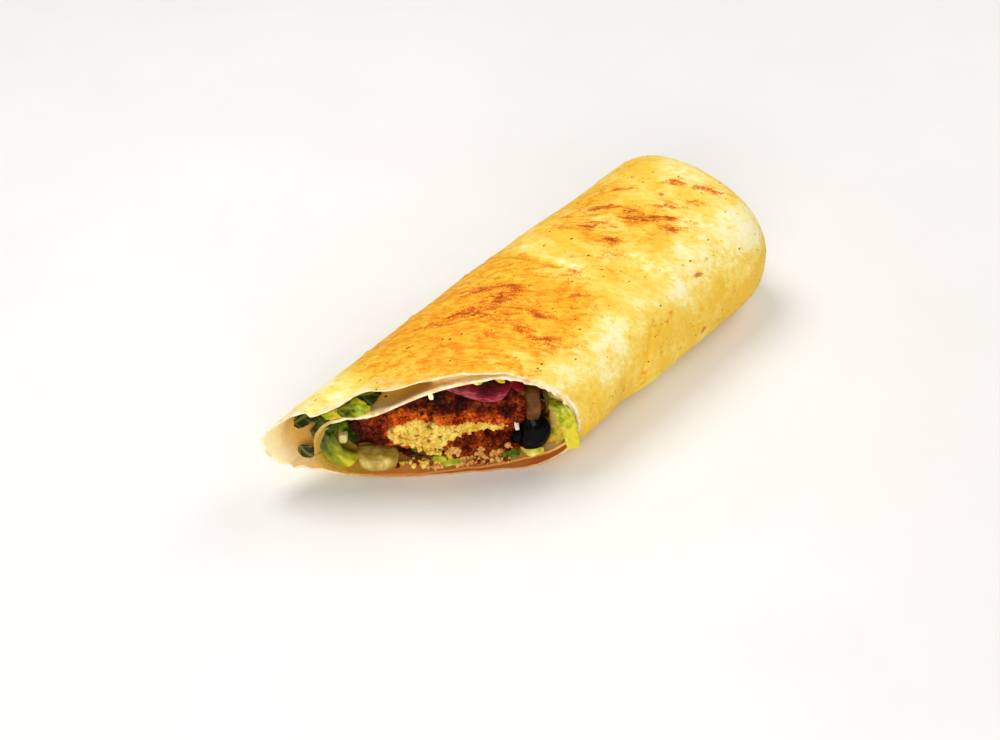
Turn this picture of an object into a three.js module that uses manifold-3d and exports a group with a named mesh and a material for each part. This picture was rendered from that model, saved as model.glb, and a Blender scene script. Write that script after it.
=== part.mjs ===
// Half of a falafel wrap, cut on the slant: a flour tortilla rolled round falafel and salad.
// Millimetres, +Z up. Y runs along the roll, from the slanted cut (-Y) to the folded end (+Y),
// and the origin lies under the middle of the whole, on the surface it rests on.

import * as THREE from "three";
import { mergeVertices } from "three/addons/utils/BufferGeometryUtils.js";
import Module from "manifold-3d";

const wasm = await Module();
wasm.setup();

// ---------------------------------------------------------------- driving dimensions

const roll = {
  halfWidth: 31.7, // at the cut
  farHalfWidth: 30.5, // at the folded end
  height: 43.4, // at the folded end
  tipHeight: 32.4, // at the sharp tip of the cut, where the roll is pressed thin
  swell: 130, // from the tip to the full height
  bow: 2, // sideways bend of the whole roll
  crestShift: 2.8, // the crest lies this far right of the middle at the cut
  yTip: -88.4, // the cut's sharp tip, on the left
  ySide: -21.4, // the cut's blunt corner, on the right
  yEnd: 89.2,
  endRadius: 23,
  pressedFlat: 0.9, // how much of the round underside is flattened by its weight
};
const sheet = { thickness: 1.3, gap: 0.8 }; // one turn of tortilla, and the space to the next
const pocket = { depth: 30, blend: 34 }; // the loose outer turn at the sharp tip
const seam = { angle: 3.72, step: 1.1, fade: 2.4 }; // the sheet's free edge, low on the left side
const lip = { sag: 2.8, rise: 2, fade: 20 }; // the outer turn's upper lip, up and down
const innerLeft = -21.7; // where the inner turn ends on the left, short of the tip
const innerSag = { x: -9, width: 10.5, depth: 6.8 }; // it hangs slack there
const tear = { x: -6, width: 9, depth: 4.5 }; // where that lip is torn back
const dent = { y: 6, z: 12, reach: 7, depth: 1.8 }; // the waist on the right side
const closing = { toHeight: 13, flatter: 0.82, narrower: 0.7, bluntness: 2.8 }; // of the folded end
const endFold = { height: 16, slope: -0.35, depth: 1.4, blend: 2 }; // the flap tucked down over it
const clearance = 0.35; // between pieces that touch
const crag = 1.1; // height of the crags on a broken falafel
const sides = 48; // facets round the roll

// ---------------------------------------------------------------- small tools

const clamp = (v, low, high) => Math.min(high, Math.max(low, v));
const mix = (a, b, t) => a + (b - a) * t;
const smooth = (v) => {
  const t = clamp(v, 0, 1);
  return t * t * (3 - 2 * t);
};
const bump = (v, centre, width) => Math.exp(-(((v - centre) / width) ** 2));
const power = (v, exponent) => Math.sign(v) * Math.abs(v) ** exponent;
const turn = 2 * Math.PI;
const range = (count) => Array.from({ length: count }, (_, i) => i);

// Smooth noise from -1 to 1, the same on every run.
function hash(i, j, k) {
  const v = Math.sin(i * 127.1 + j * 311.7 + k * 74.7) * 43758.5453;
  return (v - Math.floor(v)) * 2 - 1;
}

function noise(x, y, z) {
  const [i, j, k] = [x, y, z].map(Math.floor);
  const [u, v, w] = [x - i, y - j, z - k].map(smooth);
  const edge = (dj, dk) => mix(hash(i, j + dj, k + dk), hash(i + 1, j + dj, k + dk), u);
  return mix(mix(edge(0, 0), edge(1, 0), v), mix(edge(0, 1), edge(1, 1), v), w);
}

// A closed geometry from rings of equal length; the first and last ring are closed by a fan.
function fromRings(rings) {
  const count = rings[0].length;
  const points = rings.flat();
  const centre = (ring) =>
    ring.reduce((sum, p) => sum.add(p), new THREE.Vector3()).divideScalar(count);
  const first = points.push(centre(rings[0])) - 1;
  const last = points.push(centre(rings.at(-1))) - 1;
  const index = [];
  for (let r = 0; r < rings.length; r++)
    for (let i = 0; i < count; i++) {
      const next = (i + 1) % count;
      const a = r * count + i;
      const b = r * count + next;
      if (r === 0) index.push(first, b, a);
      if (r === rings.length - 1) index.push(last, a, b);
      else index.push(a, b, a + count, b, b + count, a + count);
    }
  return new THREE.BufferGeometry().setFromPoints(points).setIndex(index);
}

// A geometry as a manifold-3d solid that faces outwards.
function solidOf(geometry) {
  const bare = geometry.clone();
  bare.deleteAttribute("normal");
  bare.deleteAttribute("uv");
  const merged = mergeVertices(bare, 1e-4);
  const triVerts = new Uint32Array(merged.index.array);
  const vertProperties = merged.attributes.position.array;
  const made = new wasm.Manifold(new wasm.Mesh({ numProp: 3, vertProperties, triVerts }));
  if (made.volume() > 0) return made;
  for (let i = 0; i < triVerts.length; i += 3)
    [triVerts[i + 1], triVerts[i + 2]] = [triVerts[i + 2], triVerts[i + 1]];
  return new wasm.Manifold(new wasm.Mesh({ numProp: 3, vertProperties, triVerts }));
}

// The largest body of a solid: what a cut leaves loose is dropped.
function largest(solid) {
  return solid.decompose().reduce((a, b) => (b.volume() > a.volume() ? b : a));
}

// ---------------------------------------------------------------- the roll's sections

const yCut = (x) => mix(roll.yTip, roll.ySide, (x / roll.halfWidth + 1) / 2);

// A lopsided oval: its widest points are `left` and `right`, its highest `top`, its lowest `bottom`.
function oval(angle, { left, right, top, bottom, round }) {
  const [c, s] = [Math.cos(angle), Math.sin(angle)];
  const upper = s >= 0;
  const peak = upper ? top : bottom;
  const n = upper ? (c < 0 ? round.topLeft : round.topRight) : round.below;
  const reach = c < 0 ? peak[0] - left[0] : right[0] - peak[0];
  const x = peak[0] + reach * power(c, 2 / n);
  const across = (v) => mix(left[1], right[1], (v - left[0]) / (right[0] - left[0]));
  const z = across(x) + (peak[1] - across(peak[0])) * Math.abs(s) ** (2 / n);
  return [x, z];
}

// The free edge of the sheet: a step in the outside that fades round the roll.
function seamStep(angle) {
  const past = (angle - seam.angle + turn) % turn;
  return seam.step * smooth(1 - past / seam.fade);
}

// The outside of the roll at one station of its length, drawn in by `inset` and by the seam.
function outside(angle, y, inset, seamShare = 1) {
  const along = clamp((y - roll.yTip) / roll.swell, 0, 1);
  const nearTip = (1 - along) ** 1.5;
  const height = mix(roll.height, roll.tipHeight, (1 - along) ** 2);
  const a = mix(roll.halfWidth, roll.farHalfWidth, along);
  const drawn = inset + seamStep(angle) * seamShare;
  const [x, z] = oval(angle, {
    left: [-a + drawn, height * 0.6],
    right: [a - drawn, height * 0.4],
    top: [roll.crestShift * nearTip, height + roll.pressedFlat - drawn],
    bottom: [0, inset],
    round: { topLeft: mix(2.2, 1.8, nearTip), topRight: 2.5, below: 2.3 },
  });
  const length = roll.yEnd - roll.yTip;
  const bend = roll.bow * (Math.sin((Math.PI * (y - roll.yTip)) / length) - 0.35);
  const waist = x > 0 ? dent.depth * bump(y, dent.y, dent.reach) * bump(z, dent.z, 11) : 0;
  const nearLip = Math.sin(angle) > 0 ? smooth(1 - (y - yCut(x)) / lip.fade) : 0;
  const lift = nearLip * (lip.rise * bump(x, 14, 10) - lip.sag * bump(x, -9, 8));
  return [x + bend - waist, Math.max(z + lift - roll.pressedFlat, inset)];
}

// The inner turn at the cut, a smaller oval that sags at the left.
function innerTurn(angle, inset) {
  const outer = sheet.thickness + sheet.gap + inset;
  const [x, z] = oval(angle, {
    left: [innerLeft + inset, 12.5],
    right: [roll.halfWidth - outer, 15.5],
    top: [13, 39.3 - outer],
    bottom: [2, outer],
    round: { topLeft: 3.2, topRight: 2.3, below: 3 },
  });
  const sag = Math.sin(angle) > 0 ? innerSag.depth * bump(x, innerSag.x, innerSag.width) : 0;
  return [x, z - sag];
}

// ---------------------------------------------------------------- the tortilla

// Lips are ragged, and the outer turn's is torn back over its sagging stretch.
const ragged = (angle, seed) =>
  0.7 * noise(angle * 9, seed, 0.5) + 0.35 * noise(angle * 23, seed, 7.5);
const tornBack = (x, angle) =>
  Math.sin(angle) > 0 ? tear.depth * bump(x, tear.x, tear.width) : 0;

const ringAngles = [
  ...range(sides)
    .map((i) => (i * turn) / sides)
    .filter((a) => Math.abs(a - seam.angle) > turn / sides / 3),
  seam.angle - 0.015,
  seam.angle,
].toSorted((a, b) => a - b);

// Y of the outer lip at an angle: the cut's slant, followed as the section narrows.
function lipY(angle, inset) {
  let y = yCut(0);
  for (let pass = 0; pass < 12; pass++) {
    const [x] = outside(angle, y, inset);
    y = yCut(x) + tornBack(x, angle);
  }
  return y + ragged(angle, 1);
}

// How far the space between the turns runs in from the cut.
const gapDepth = (angle) => mix(5, pocket.depth, smooth((-Math.cos(angle) - 0.1) / 0.6));

// A ring of the outside at `share` of the way from the lip to the folded end, where it closes in.
function outerRing(share, inset) {
  return ringAngles.map((angle) => {
    const y = mix(lipY(angle, inset), roll.yEnd, share);
    const t = clamp((y - roll.yEnd + roll.endRadius) / roll.endRadius, 0, 1);
    const drawn = 1 - (1 - t ** closing.bluntness) ** (1 / closing.bluntness);
    const [wide, high] = outside(angle, y, inset, 1 - share ** 6);
    const x = wide * (1 - closing.narrower * drawn);
    const z = mix(high, closing.toHeight, closing.flatter * drawn);
    const underFlap = smooth((endFold.height + x * endFold.slope - z) / endFold.blend);
    return new THREE.Vector3(x, y - endFold.depth * underFlap * smooth(drawn * 3), z);
  });
}

// A ring between the turns on the outer turn's inner face, `part` of the way in.
function outerTurnInside(part, grow) {
  return ringAngles.map((angle) => {
    const y = lipY(angle, sheet.thickness) + gapDepth(angle) * part - grow;
    const [x, z] = outside(angle, y, sheet.thickness + grow);
    return new THREE.Vector3(x, y, z);
  });
}

// A point of the inner turn `deep` into the roll; it settles against the outer turn as it goes in.
function innerPoint(angle, deep, inset) {
  const [x0, z0] = innerTurn(angle, inset);
  const y = yCut(x0) + ragged(angle, 2) * smooth(1 - deep / 6) + deep;
  const [x1, z1] = outside(angle, y, sheet.thickness + sheet.gap + inset);
  const t = smooth(deep / pocket.blend);
  return new THREE.Vector3(mix(x0, x1, t), y, mix(z0, z1, t));
}
const innerRing = (deep, inset) => ringAngles.map((angle) => innerPoint(angle, deep, inset));

// The room inside the rolled sheet from `from` behind the cut up to the folded end.
function cavityRings(from, inset) {
  const depths = [0, 4, 10, 18, 27, 40, 60, 84].filter((deep) => deep > from);
  const doubled = 2 * sheet.thickness + sheet.gap + inset;
  const shorter = inset / 80;
  return [
    ...[from, ...depths].map((deep) => innerRing(deep, sheet.thickness + inset)),
    ...[0.87, 0.925, 0.95].map((share) => outerRing(share - shorter, doubled + 1.5)),
  ];
}

// `grow` thickens the sheet on both faces, to make room for it in its neighbours.
function tortillaSolid(grow) {
  const outer = [1, 0.985, 0.96, 0.92, 0.87, 0.8, 0.68, 0.55, 0.42, 0.3, 0.19, 0.1, 0.04, 0];
  const inward = [0, 0.33, 0.66, 1];
  return solidOf(
    fromRings([
      ...outer.map((share) => outerRing(share, -grow)),
      ...inward.map((part) => outerTurnInside(part, grow)),
      ...inward.toReversed().map((part) =>
        ringAngles.map((angle) => innerPoint(angle, gapDepth(angle) * part, -grow)),
      ),
      ...cavityRings(0, grow),
    ]),
  );
}

// ---------------------------------------------------------------- places on the cut

// A point `s` along the cut from its sharp tip, at height z, and `deep` into the food.
const slant = new THREE.Vector2(2 * roll.halfWidth, roll.ySide - roll.yTip).normalize();
function onCut(s, z, deep = 0) {
  const x = -roll.halfWidth + slant.x * s - slant.y * deep;
  const y = roll.yTip + slant.y * s + slant.x * deep;
  return new THREE.Vector3(x, y, z);
}

// A strip, slice or leaf: an oval section swept along a curve, wide along `across`.
function sliver(shape, grow = 0) {
  const { path, width, thick, across, steps = 8, facets = 10, ends = 0.35, wave = 0 } = shape;
  const curve = new THREE.CatmullRomCurve3(path);
  const wide = across.clone().normalize();
  const rings = range(steps + 1).map((step) => {
    const t = step / steps;
    const at = curve.getPoint(t);
    const flat = new THREE.Vector3().crossVectors(curve.getTangent(t), wide).normalize();
    const fullness = mix(ends, 1, Math.sin(Math.PI * clamp(t, 0.04, 0.96)) ** 0.55);
    return range(facets).map((i) => {
      const angle = (i * turn) / facets;
      const u = power(Math.cos(angle), 0.75) * ((width / 2) * fullness + grow);
      const v = power(Math.sin(angle), 0.75) * ((thick / 2) * Math.sqrt(fullness) + grow);
      const ripple = wave * noise(at.x * 0.35 + u * 0.4, at.y * 0.35, at.z * 0.35 + step);
      return at.clone().addScaledVector(wide, u).addScaledVector(flat, v + ripple);
    });
  });
  return solidOf(fromRings(rings));
}

// ---------------------------------------------------------------- the falafel

// Both run through the roll. At the cut the ball is broken open, and its top falls away as a crust.
const falafelUpper = {
  left: [-17.5, 19.5],
  right: [21, 18],
  top: [4, 29.5],
  bottom: [-1, 8],
  round: { topLeft: 2.1, topRight: 2.2, below: 1.9 },
  notch: { x: 12, width: 8, height: 5.5 }, // the hollow over the lower falafel
  dome: 7,
  seed: 3,
};
const falafelLower = {
  left: [1.5, 7],
  right: [18.5, 8],
  top: [9, 15],
  bottom: [9, 3.9],
  round: { topLeft: 2.2, topRight: 2.2, below: 2.4 },
  notch: { x: 0, width: 1, height: 0 },
  dome: 4,
  seed: 11,
};

function falafelSolid(shape, yTo, grow = 0) {
  const facets = 30;
  const midX = (shape.left[0] + shape.right[0]) / 2;
  const midZ = (shape.left[1] + shape.right[1]) / 2;
  const halfX = (shape.right[0] - shape.left[0]) / 2;
  const halfZ = (shape.top[1] - shape.bottom[1]) / 2;
  const ring = (size, at) =>
    range(facets).map((i) => {
      const [ox, round] = oval((i * turn) / facets, shape);
      const below = clamp((midZ - round) / 4, 0, 1);
      const oz = round + shape.notch.height * below * bump(ox, shape.notch.x, shape.notch.width);
      const lump = crag * noise(ox * 0.3, oz * 0.3, shape.seed + at(ox, oz, size) * 0.09);
      const reach = size * (1 + (lump + grow) / Math.hypot(halfX, halfZ)) + (size * grow) / 12;
      const x = midX + (ox - midX) * reach;
      const z = midZ + (oz - midZ) * reach;
      return new THREE.Vector3(x, at(x, z, size), z);
    });
  const face = (x, z, size) => {
    const above = clamp((z - midZ) / (shape.top[1] - midZ), 0, 1);
    const rough = crag * 1.4 * noise(x * 0.3, z * 0.3, shape.seed);
    return yCut(x) + 2.4 + shape.dome * above ** 2 + 2.5 * size ** 4 + rough - grow;
  };
  const along = (deep) => (x, z = midZ, size = 1) => mix(face(x, z, size), yTo + grow, deep);
  return solidOf(
    fromRings([
      ...[0.25, 0.5, 0.75, 0.93].map((size) => ring(size, face)),
      ...[0.03, 0.12, 0.27, 0.45, 0.63, 0.8, 0.93].map((deep) => ring(1, along(deep))),
      ring(0.7, along(1)),
    ]),
  );
}

// ---------------------------------------------------------------- what shows round the falafel

const inwards = onCut(0, 0, 1).sub(onCut(0, 0, 0)); // square to the cut
const sideways = onCut(1, 0).sub(onCut(0, 0)); // along the cut
const upwards = new THREE.Vector3(0, 0, 1);

const pieces = {
  red_onion_slice: {
    path: [onCut(51.5, 30.2, 6), onCut(58.5, 30, 4.5), onCut(66, 29, 3.8), onCut(72.5, 27.6, 5)],
    width: 12,
    thick: 3.2,
    across: inwards,
  },
  red_onion_bit: {
    path: [onCut(72.5, 31.6, 4.5), onCut(75, 30.8, 4), onCut(77, 28.6, 4.5)],
    width: 8,
    thick: 2,
    across: inwards,
    steps: 5,
  },
  black_olive: {
    path: [onCut(78, 6.6, 3.6), onCut(79, 10, 2.8), onCut(79.2, 15, 2.8), onCut(78.6, 19.2, 3.8)],
    width: 10.4,
    thick: 7,
    across: sideways,
    ends: 0.1,
    steps: 9,
    facets: 14,
  },
  pickle_slice: {
    path: [onCut(79.6, 20.6, 3.4), onCut(79.8, 25, 3), onCut(79.4, 29.6, 3.6)],
    width: 4.6,
    thick: 7,
    across: sideways,
    steps: 6,
  },
  pickle_peel: {
    path: [onCut(83, 21.6, 3.6), onCut(83.2, 25, 3.4), onCut(82.4, 28.6, 4)],
    width: 9,
    thick: 1.2,
    across: inwards,
    steps: 6,
  },
  cabbage_leaf: {
    path: [onCut(85.4, 29.4, 8), onCut(87.8, 24, 8), onCut(88, 16, 8), onCut(86, 9, 8), onCut(81.5, 5, 8)],
    width: 15,
    thick: 1.1,
    across: inwards,
    steps: 10,
    ends: 0.6,
    wave: 0.35,
  },
  pepper_strip: {
    path: [onCut(16.6, 21, 3.2), onCut(18.4, 16, 2.4), onCut(21.6, 9.8, 2.2), onCut(25.8, 4.8, 3.4)],
    width: 6.8,
    thick: 3.2,
    across: sideways.clone().addScaledVector(upwards, 0.75).addScaledVector(inwards, 0.25),
    steps: 9,
    facets: 12,
  },
  cucumber_slice: {
    path: [onCut(27, 7.4, 5), onCut(30.6, 7.6, 4.2), onCut(34.6, 7.2, 4.2), onCut(38, 6, 5)],
    width: 9,
    thick: 6.4,
    across: inwards,
    steps: 8,
    facets: 12,
  },
  onion_bit_left: {
    path: [onCut(22.9, 14.6, 7), onCut(22.8, 15, 4.5), onCut(22.6, 15.2, 2)],
    width: 3,
    thick: 3.2,
    across: sideways,
    steps: 4,
    facets: 8,
    ends: 0.7,
  },
  onion_bit_right: {
    path: [onCut(73.6, 19.6, 6), onCut(74.2, 19.4, 3.6), onCut(74.8, 19, 1.4)],
    width: 1.6,
    thick: 2.2,
    across: sideways,
    steps: 4,
    facets: 8,
    ends: 0.7,
  },
  lettuce_over_rim: {
    path: [onCut(82.4, 23, 4), onCut(85.4, 23.6, -1), onCut(87.4, 21, -2.2), onCut(88.8, 15, -2.6), onCut(89.4, 9, -2.2)],
    width: 4.8,
    thick: 0.9,
    across: sideways,
    steps: 10,
    ends: 0.5,
    wave: 0.5,
  },
  leaf_at_tip: {
    path: [onCut(8.6, 24.6, 1.6), onCut(13, 26, 1.8), onCut(18, 27, 2.6), onCut(22, 26.8, 4)],
    width: 8,
    thick: 0.8,
    across: upwards.clone().addScaledVector(inwards, 1.6),
    steps: 8,
    wave: 0.6,
  },
  leaf_low: {
    path: [onCut(9.4, 12.6, 3), onCut(11.6, 10.6, 2.6), onCut(14, 8, 3)],
    width: 4.6,
    thick: 0.8,
    across: sideways.clone().addScaledVector(upwards, 0.8),
    steps: 6,
    wave: 0.4,
  },
  leaf_between_turns: {
    path: [onCut(22.6, 30.6, 4), onCut(27, 31.4, 3.4), onCut(31.4, 31.2, 4), onCut(35, 31.4, 6)],
    width: 8,
    thick: 0.8,
    across: inwards.clone().addScaledVector(upwards, 0.35),
    steps: 8,
    wave: 0.5,
  },
  leaf_wedge: {
    path: [onCut(21, 28.8, 2), onCut(25.2, 30, 1), onCut(29.2, 29.8, 0.8), onCut(32.4, 28.6, 1)],
    width: 7,
    thick: 0.9,
    across: upwards.clone().addScaledVector(inwards, 1.4),
    steps: 7,
    wave: 0.5,
  },
};

// Shreds of lettuce and cabbage that stick out of the salad at the cut.
const shreds = [
  [onCut(39, 5.6, 12), onCut(42, 5.4, 4), onCut(46, 5.4, 3)],
  [onCut(47, 5.2, 12), onCut(51, 4.9, 4), onCut(57, 4.8, 3.4)],
  [onCut(69, 6, 12), onCut(72, 5.4, 4), onCut(76, 5.4, 3.4)],
  [onCut(75, 6.6, 12), onCut(78, 5.6, 4), onCut(82, 6.4, 4)],
  [onCut(17, 22, 12), onCut(19, 22.6, 5), onCut(23, 22.8, 4.4)],
  [onCut(24, 12, 12), onCut(26, 14, 5), onCut(27, 17.6, 4.6)],
  [onCut(62, 33.4, 12), onCut(64, 34, 6), onCut(70, 33.2, 5.4)],
  [onCut(76, 22, 12), onCut(76.4, 24, 6), onCut(76.6, 28, 6)],
];

// The salad fills what is left of the roll behind the cut; it is cut round its neighbours.
function saladSolid(neighbours) {
  const coarse = cavityRings(9, 3 * clearance).map((ring) => ring.filter((_, i) => i % 2 === 0));
  const core = solidOf(fromRings(coarse));
  const strands = shreds.map((path, i) =>
    sliver({
      path,
      width: 2.6 + 0.8 * hash(i, 1, 1),
      thick: 1.1,
      across: sideways.clone().addScaledVector(upwards, 0.4 * hash(i, 2, 1)),
      steps: 5,
      facets: 6,
    }),
  );
  const loose = strands.map((strand) => strand.subtract(tortillaRoom));
  const whole = loose.reduce((sum, strand) => sum.add(strand), core);
  return largest(neighbours.reduce((rest, other) => rest.subtract(other), whole));
}

// ---------------------------------------------------------------- colours and the finished group

const finish = {
  tortilla: [0xf1d999, 0.7],
  falafel_upper: [0x8a4a20, 0.85],
  falafel_lower: [0x7a3f1c, 0.85],
  salad: [0x7d8b35, 0.6],
  red_onion_slice: [0x8f2f4c, 0.35],
  red_onion_bit: [0x7d2438, 0.35],
  black_olive: [0x17161b, 0.25],
  pickle_slice: [0x8c8452, 0.3],
  pickle_peel: [0x6b5a26, 0.35],
  cabbage_leaf: [0xc9c878, 0.45],
  pepper_strip: [0x74a02b, 0.25],
  cucumber_slice: [0xb5b672, 0.25],
  onion_bit_left: [0xd9d2a0, 0.4],
  onion_bit_right: [0xe4dcc6, 0.4],
  lettuce_over_rim: [0xa5c33a, 0.45],
  leaf_at_tip: [0x4a6b25, 0.5],
  leaf_low: [0x3f6a22, 0.5],
  leaf_between_turns: [0x55702a, 0.5],
  leaf_wedge: [0x8fb544, 0.45],
};

const wrap = new THREE.Group();

function addPiece(name, solid) {
  const { vertProperties, triVerts } = solid.getMesh();
  const geometry = new THREE.BufferGeometry();
  geometry.setAttribute("position", new THREE.BufferAttribute(new Float32Array(vertProperties), 3));
  geometry.setIndex(new THREE.BufferAttribute(new Uint32Array(triVerts), 1));
  geometry.computeVertexNormals();
  const [color, roughness] = finish[name];
  const mesh = new THREE.Mesh(
    geometry,
    new THREE.MeshStandardMaterial({ color, roughness, metalness: 0 }),
  );
  mesh.name = name;
  wrap.add(mesh);
}

const tortilla = tortillaSolid(0);
const tortillaRoom = tortillaSolid(clearance);
addPiece("tortilla", tortilla);

const upper = falafelSolid(falafelUpper, 70);
const upperRoom = falafelSolid(falafelUpper, 70, clearance);
const lower = falafelSolid(falafelLower, 60);
const lowerRoom = falafelSolid(falafelLower, 60, clearance);
addPiece("falafel_upper", largest(upper.subtract(tortillaRoom)));
addPiece("falafel_lower", largest(lower.subtract(upperRoom).subtract(tortillaRoom)));

const rooms = [upperRoom, lowerRoom];
for (const [name, shape] of Object.entries(pieces)) {
  const clear = sliver(shape).subtract(tortillaRoom);
  addPiece(name, largest(rooms.reduce((rest, room) => rest.subtract(room), clear)));
  rooms.push(sliver(shape, clearance));
}
addPiece("salad", saladSolid(rooms));

export default wrap;
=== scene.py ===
import math

import bmesh
import bpy
import numpy as np
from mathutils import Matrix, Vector


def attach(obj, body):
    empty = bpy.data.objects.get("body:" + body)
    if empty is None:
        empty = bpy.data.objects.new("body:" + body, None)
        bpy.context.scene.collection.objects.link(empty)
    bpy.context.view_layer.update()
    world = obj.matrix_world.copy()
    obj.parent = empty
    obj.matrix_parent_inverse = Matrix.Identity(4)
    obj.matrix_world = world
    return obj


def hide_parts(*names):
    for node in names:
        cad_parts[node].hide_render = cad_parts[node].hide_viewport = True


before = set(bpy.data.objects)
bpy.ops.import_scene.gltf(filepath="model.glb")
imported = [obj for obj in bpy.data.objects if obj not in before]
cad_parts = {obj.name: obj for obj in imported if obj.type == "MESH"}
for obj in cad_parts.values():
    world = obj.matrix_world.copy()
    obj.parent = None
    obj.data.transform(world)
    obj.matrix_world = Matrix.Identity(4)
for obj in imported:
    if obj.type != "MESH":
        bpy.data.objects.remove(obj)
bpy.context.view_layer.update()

# Half a falafel wrap, lying on its underside. The roll runs along Y, its slanted cut faces -Y.
# Sizes below are millimetres, and everything is scaled to metres when a mesh is made.
mm = 0.001
turn = 2 * math.pi

print("falafel wrap: camera, light and floor")

camera = {
    "place": (308.95, -359.35, 397.92),
    "azimuth": 40.38,
    "elevation": 38.54,
    "lens": 70,
    "shift": (-0.0512, -0.0336),
}


def addCamera():
    data = bpy.data.cameras.new("tableCamera")
    data.lens = camera["lens"]
    data.sensor_width = 36
    data.shift_x, data.shift_y = camera["shift"]
    data.clip_start = 0.01
    rig = bpy.data.objects.new("tableCamera", data)
    rig.location = Vector(camera["place"]) * mm
    rig.rotation_euler = (math.radians(90 - camera["elevation"]), 0, math.radians(camera["azimuth"]))
    bpy.context.scene.collection.objects.link(rig)
    bpy.context.scene.camera = rig


# place and aim in mm, size in mm, power in watts
lamps = {
    "keySoftbox": {"place": (-280, -20, 620), "aim": (0, 0, 20), "size": 420, "power": 2.6},
    "frontFill": {"place": (420, -560, 330), "aim": (0, -30, 15), "size": 520, "power": 3.7},
    "backRim": {"place": (160, 560, 420), "aim": (0, 20, 30), "size": 420, "power": 1.3},
}


def addLamps():
    for name, lamp in lamps.items():
        data = bpy.data.lights.new(name, "AREA")
        data.shape = "DISK"
        data.size = lamp["size"] * mm
        data.energy = lamp["power"]
        light = bpy.data.objects.new(name, data)
        light.location = Vector(lamp["place"]) * mm
        aim = Vector(lamp["aim"]) - Vector(lamp["place"])
        light.rotation_euler = aim.to_track_quat("-Z", "Y").to_euler()
        bpy.context.scene.collection.objects.link(light)
    world = bpy.data.worlds.new("paleRoom")
    world.use_nodes = True
    world.node_tree.nodes["Background"].inputs["Color"].default_value = (1, 0.985, 0.96, 1)
    world.node_tree.nodes["Background"].inputs["Strength"].default_value = 0.34
    bpy.context.scene.world = world
    bpy.context.scene.view_settings.view_transform = "Standard"


def mix(a, b, t):
    return a + (b - a) * t


def smooth(v):
    t = np.clip(v, 0, 1)
    return t * t * (3 - 2 * t)


def bump(v, centre, width):
    return np.exp(-(((v - centre) / width) ** 2))


def hump(v, shape):
    height, centre, width = shape
    return height * bump(v, centre, width)


def power(v, exponent):
    return np.sign(v) * np.abs(v) ** exponent


def hashOf(i, j, k):
    v = np.sin(i * 127.1 + j * 311.7 + k * 74.7) * 43758.5453
    return (v - np.floor(v)) * 2 - 1


def softNoise(x, y, z):
    # smooth noise from -1 to 1
    x, y, z = np.broadcast_arrays(np.asarray(x, float), y, z)
    i, j, k = np.floor(x), np.floor(y), np.floor(z)
    u, v, w = smooth(x - i), smooth(y - j), smooth(z - k)

    def edge(dj, dk):
        return mix(hashOf(i, j + dj, k + dk), hashOf(i + 1, j + dj, k + dk), u)

    return mix(mix(edge(0, 0), edge(1, 0), v), mix(edge(0, 1), edge(1, 1), v), w)


def roughNoise(x, y, z, octaves=4):
    total = 0
    for step in range(octaves):
        scale = 2.03**step
        total = total + softNoise(x * scale, y * scale, z * scale + 7.3 * step) / 1.9**step
    return total / 1.6


def grains(x, y, z):
    # distance to the nearest of points scattered one to a unit cube
    scatter = 0.45
    x, y, z = np.broadcast_arrays(np.asarray(x, float), y, z)
    i, j, k = np.floor(x), np.floor(y), np.floor(z)
    nearest = np.full(x.shape, 9.0)
    for di in (-1, 0, 1):
        for dj in (-1, 0, 1):
            for dk in (-1, 0, 1):
                a, b, c = i + di, j + dj, k + dk
                px = a + 0.5 + scatter * hashOf(a, b, c)
                py = b + 0.5 + scatter * hashOf(a + 31, b + 17, c + 5)
                pz = c + 0.5 + scatter * hashOf(a + 11, b + 43, c + 29)
                away = (x - px) ** 2 + (y - py) ** 2 + (z - pz) ** 2
                nearest = np.minimum(nearest, away)
    return np.sqrt(nearest)


def newPiece(name, points, faces, material, replaced, unrolled=None, values=None):
    # a mesh in mm becomes a piece that rides on the wrap and stands for the nodes in `replaced`
    mesh = bpy.data.meshes.new(name)
    mesh.from_pydata((np.asarray(points) * mm).tolist(), [], faces)
    if unrolled is not None:
        layer = mesh.uv_layers.new(name="unrolled")
        layer.data.foreach_set("uv", np.asarray(unrolled, np.float32).ravel())
    for key, numbers in (values or {}).items():
        made = mesh.attributes.new(key, "FLOAT", "POINT")
        made.data.foreach_set("value", np.asarray(numbers, np.float32).ravel())
    mesh.shade_smooth()
    mesh.materials.append(material)
    piece = bpy.data.objects.new(name, mesh)
    bpy.context.scene.collection.objects.link(piece)
    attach(piece, "root")
    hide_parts(*replaced)


def ringFaces(rows, around, first=0):
    # quads between closed rings, and a fan over each end round two added points
    r, i = np.meshgrid(np.arange(rows - 1), np.arange(around), indexing="ij")
    nextOne = (i + 1) % around
    quads = np.stack([r * around + i, r * around + nextOne,
                      (r + 1) * around + nextOne, (r + 1) * around + i], -1).reshape(-1, 4) + first
    start, end = first + rows * around, first + rows * around + 1
    ends = (rows - 1) * around + first
    fans = [(start, first + (n + 1) % around, first + n) for n in range(around)]
    fans += [(end, ends + n, ends + (n + 1) % around) for n in range(around)]
    return quads.tolist() + fans


def ringPoints(rings):
    flat = rings.reshape(-1, 3)
    return np.vstack([flat, rings[0].mean(0), rings[-1].mean(0)])


def ringMap(rows, around, across, along):
    # the two map coordinates at the corners of ringFaces, from a column value and a row value
    r, i = np.meshgrid(np.arange(rows - 1), np.arange(around), indexing="ij")
    u = np.append(across, across[-1] * 2 - across[-2])
    corners = np.stack([
        np.stack([u[i], along[r]], -1), np.stack([u[i + 1], along[r]], -1),
        np.stack([u[i + 1], along[r + 1]], -1), np.stack([u[i], along[r + 1]], -1),
    ], 2).reshape(-1, 2)
    fans = []
    for row in (0, -1):
        for n in range(around):
            fans += [(u[n], along[row])] * 3
    return np.vstack([corners, fans])


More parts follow.
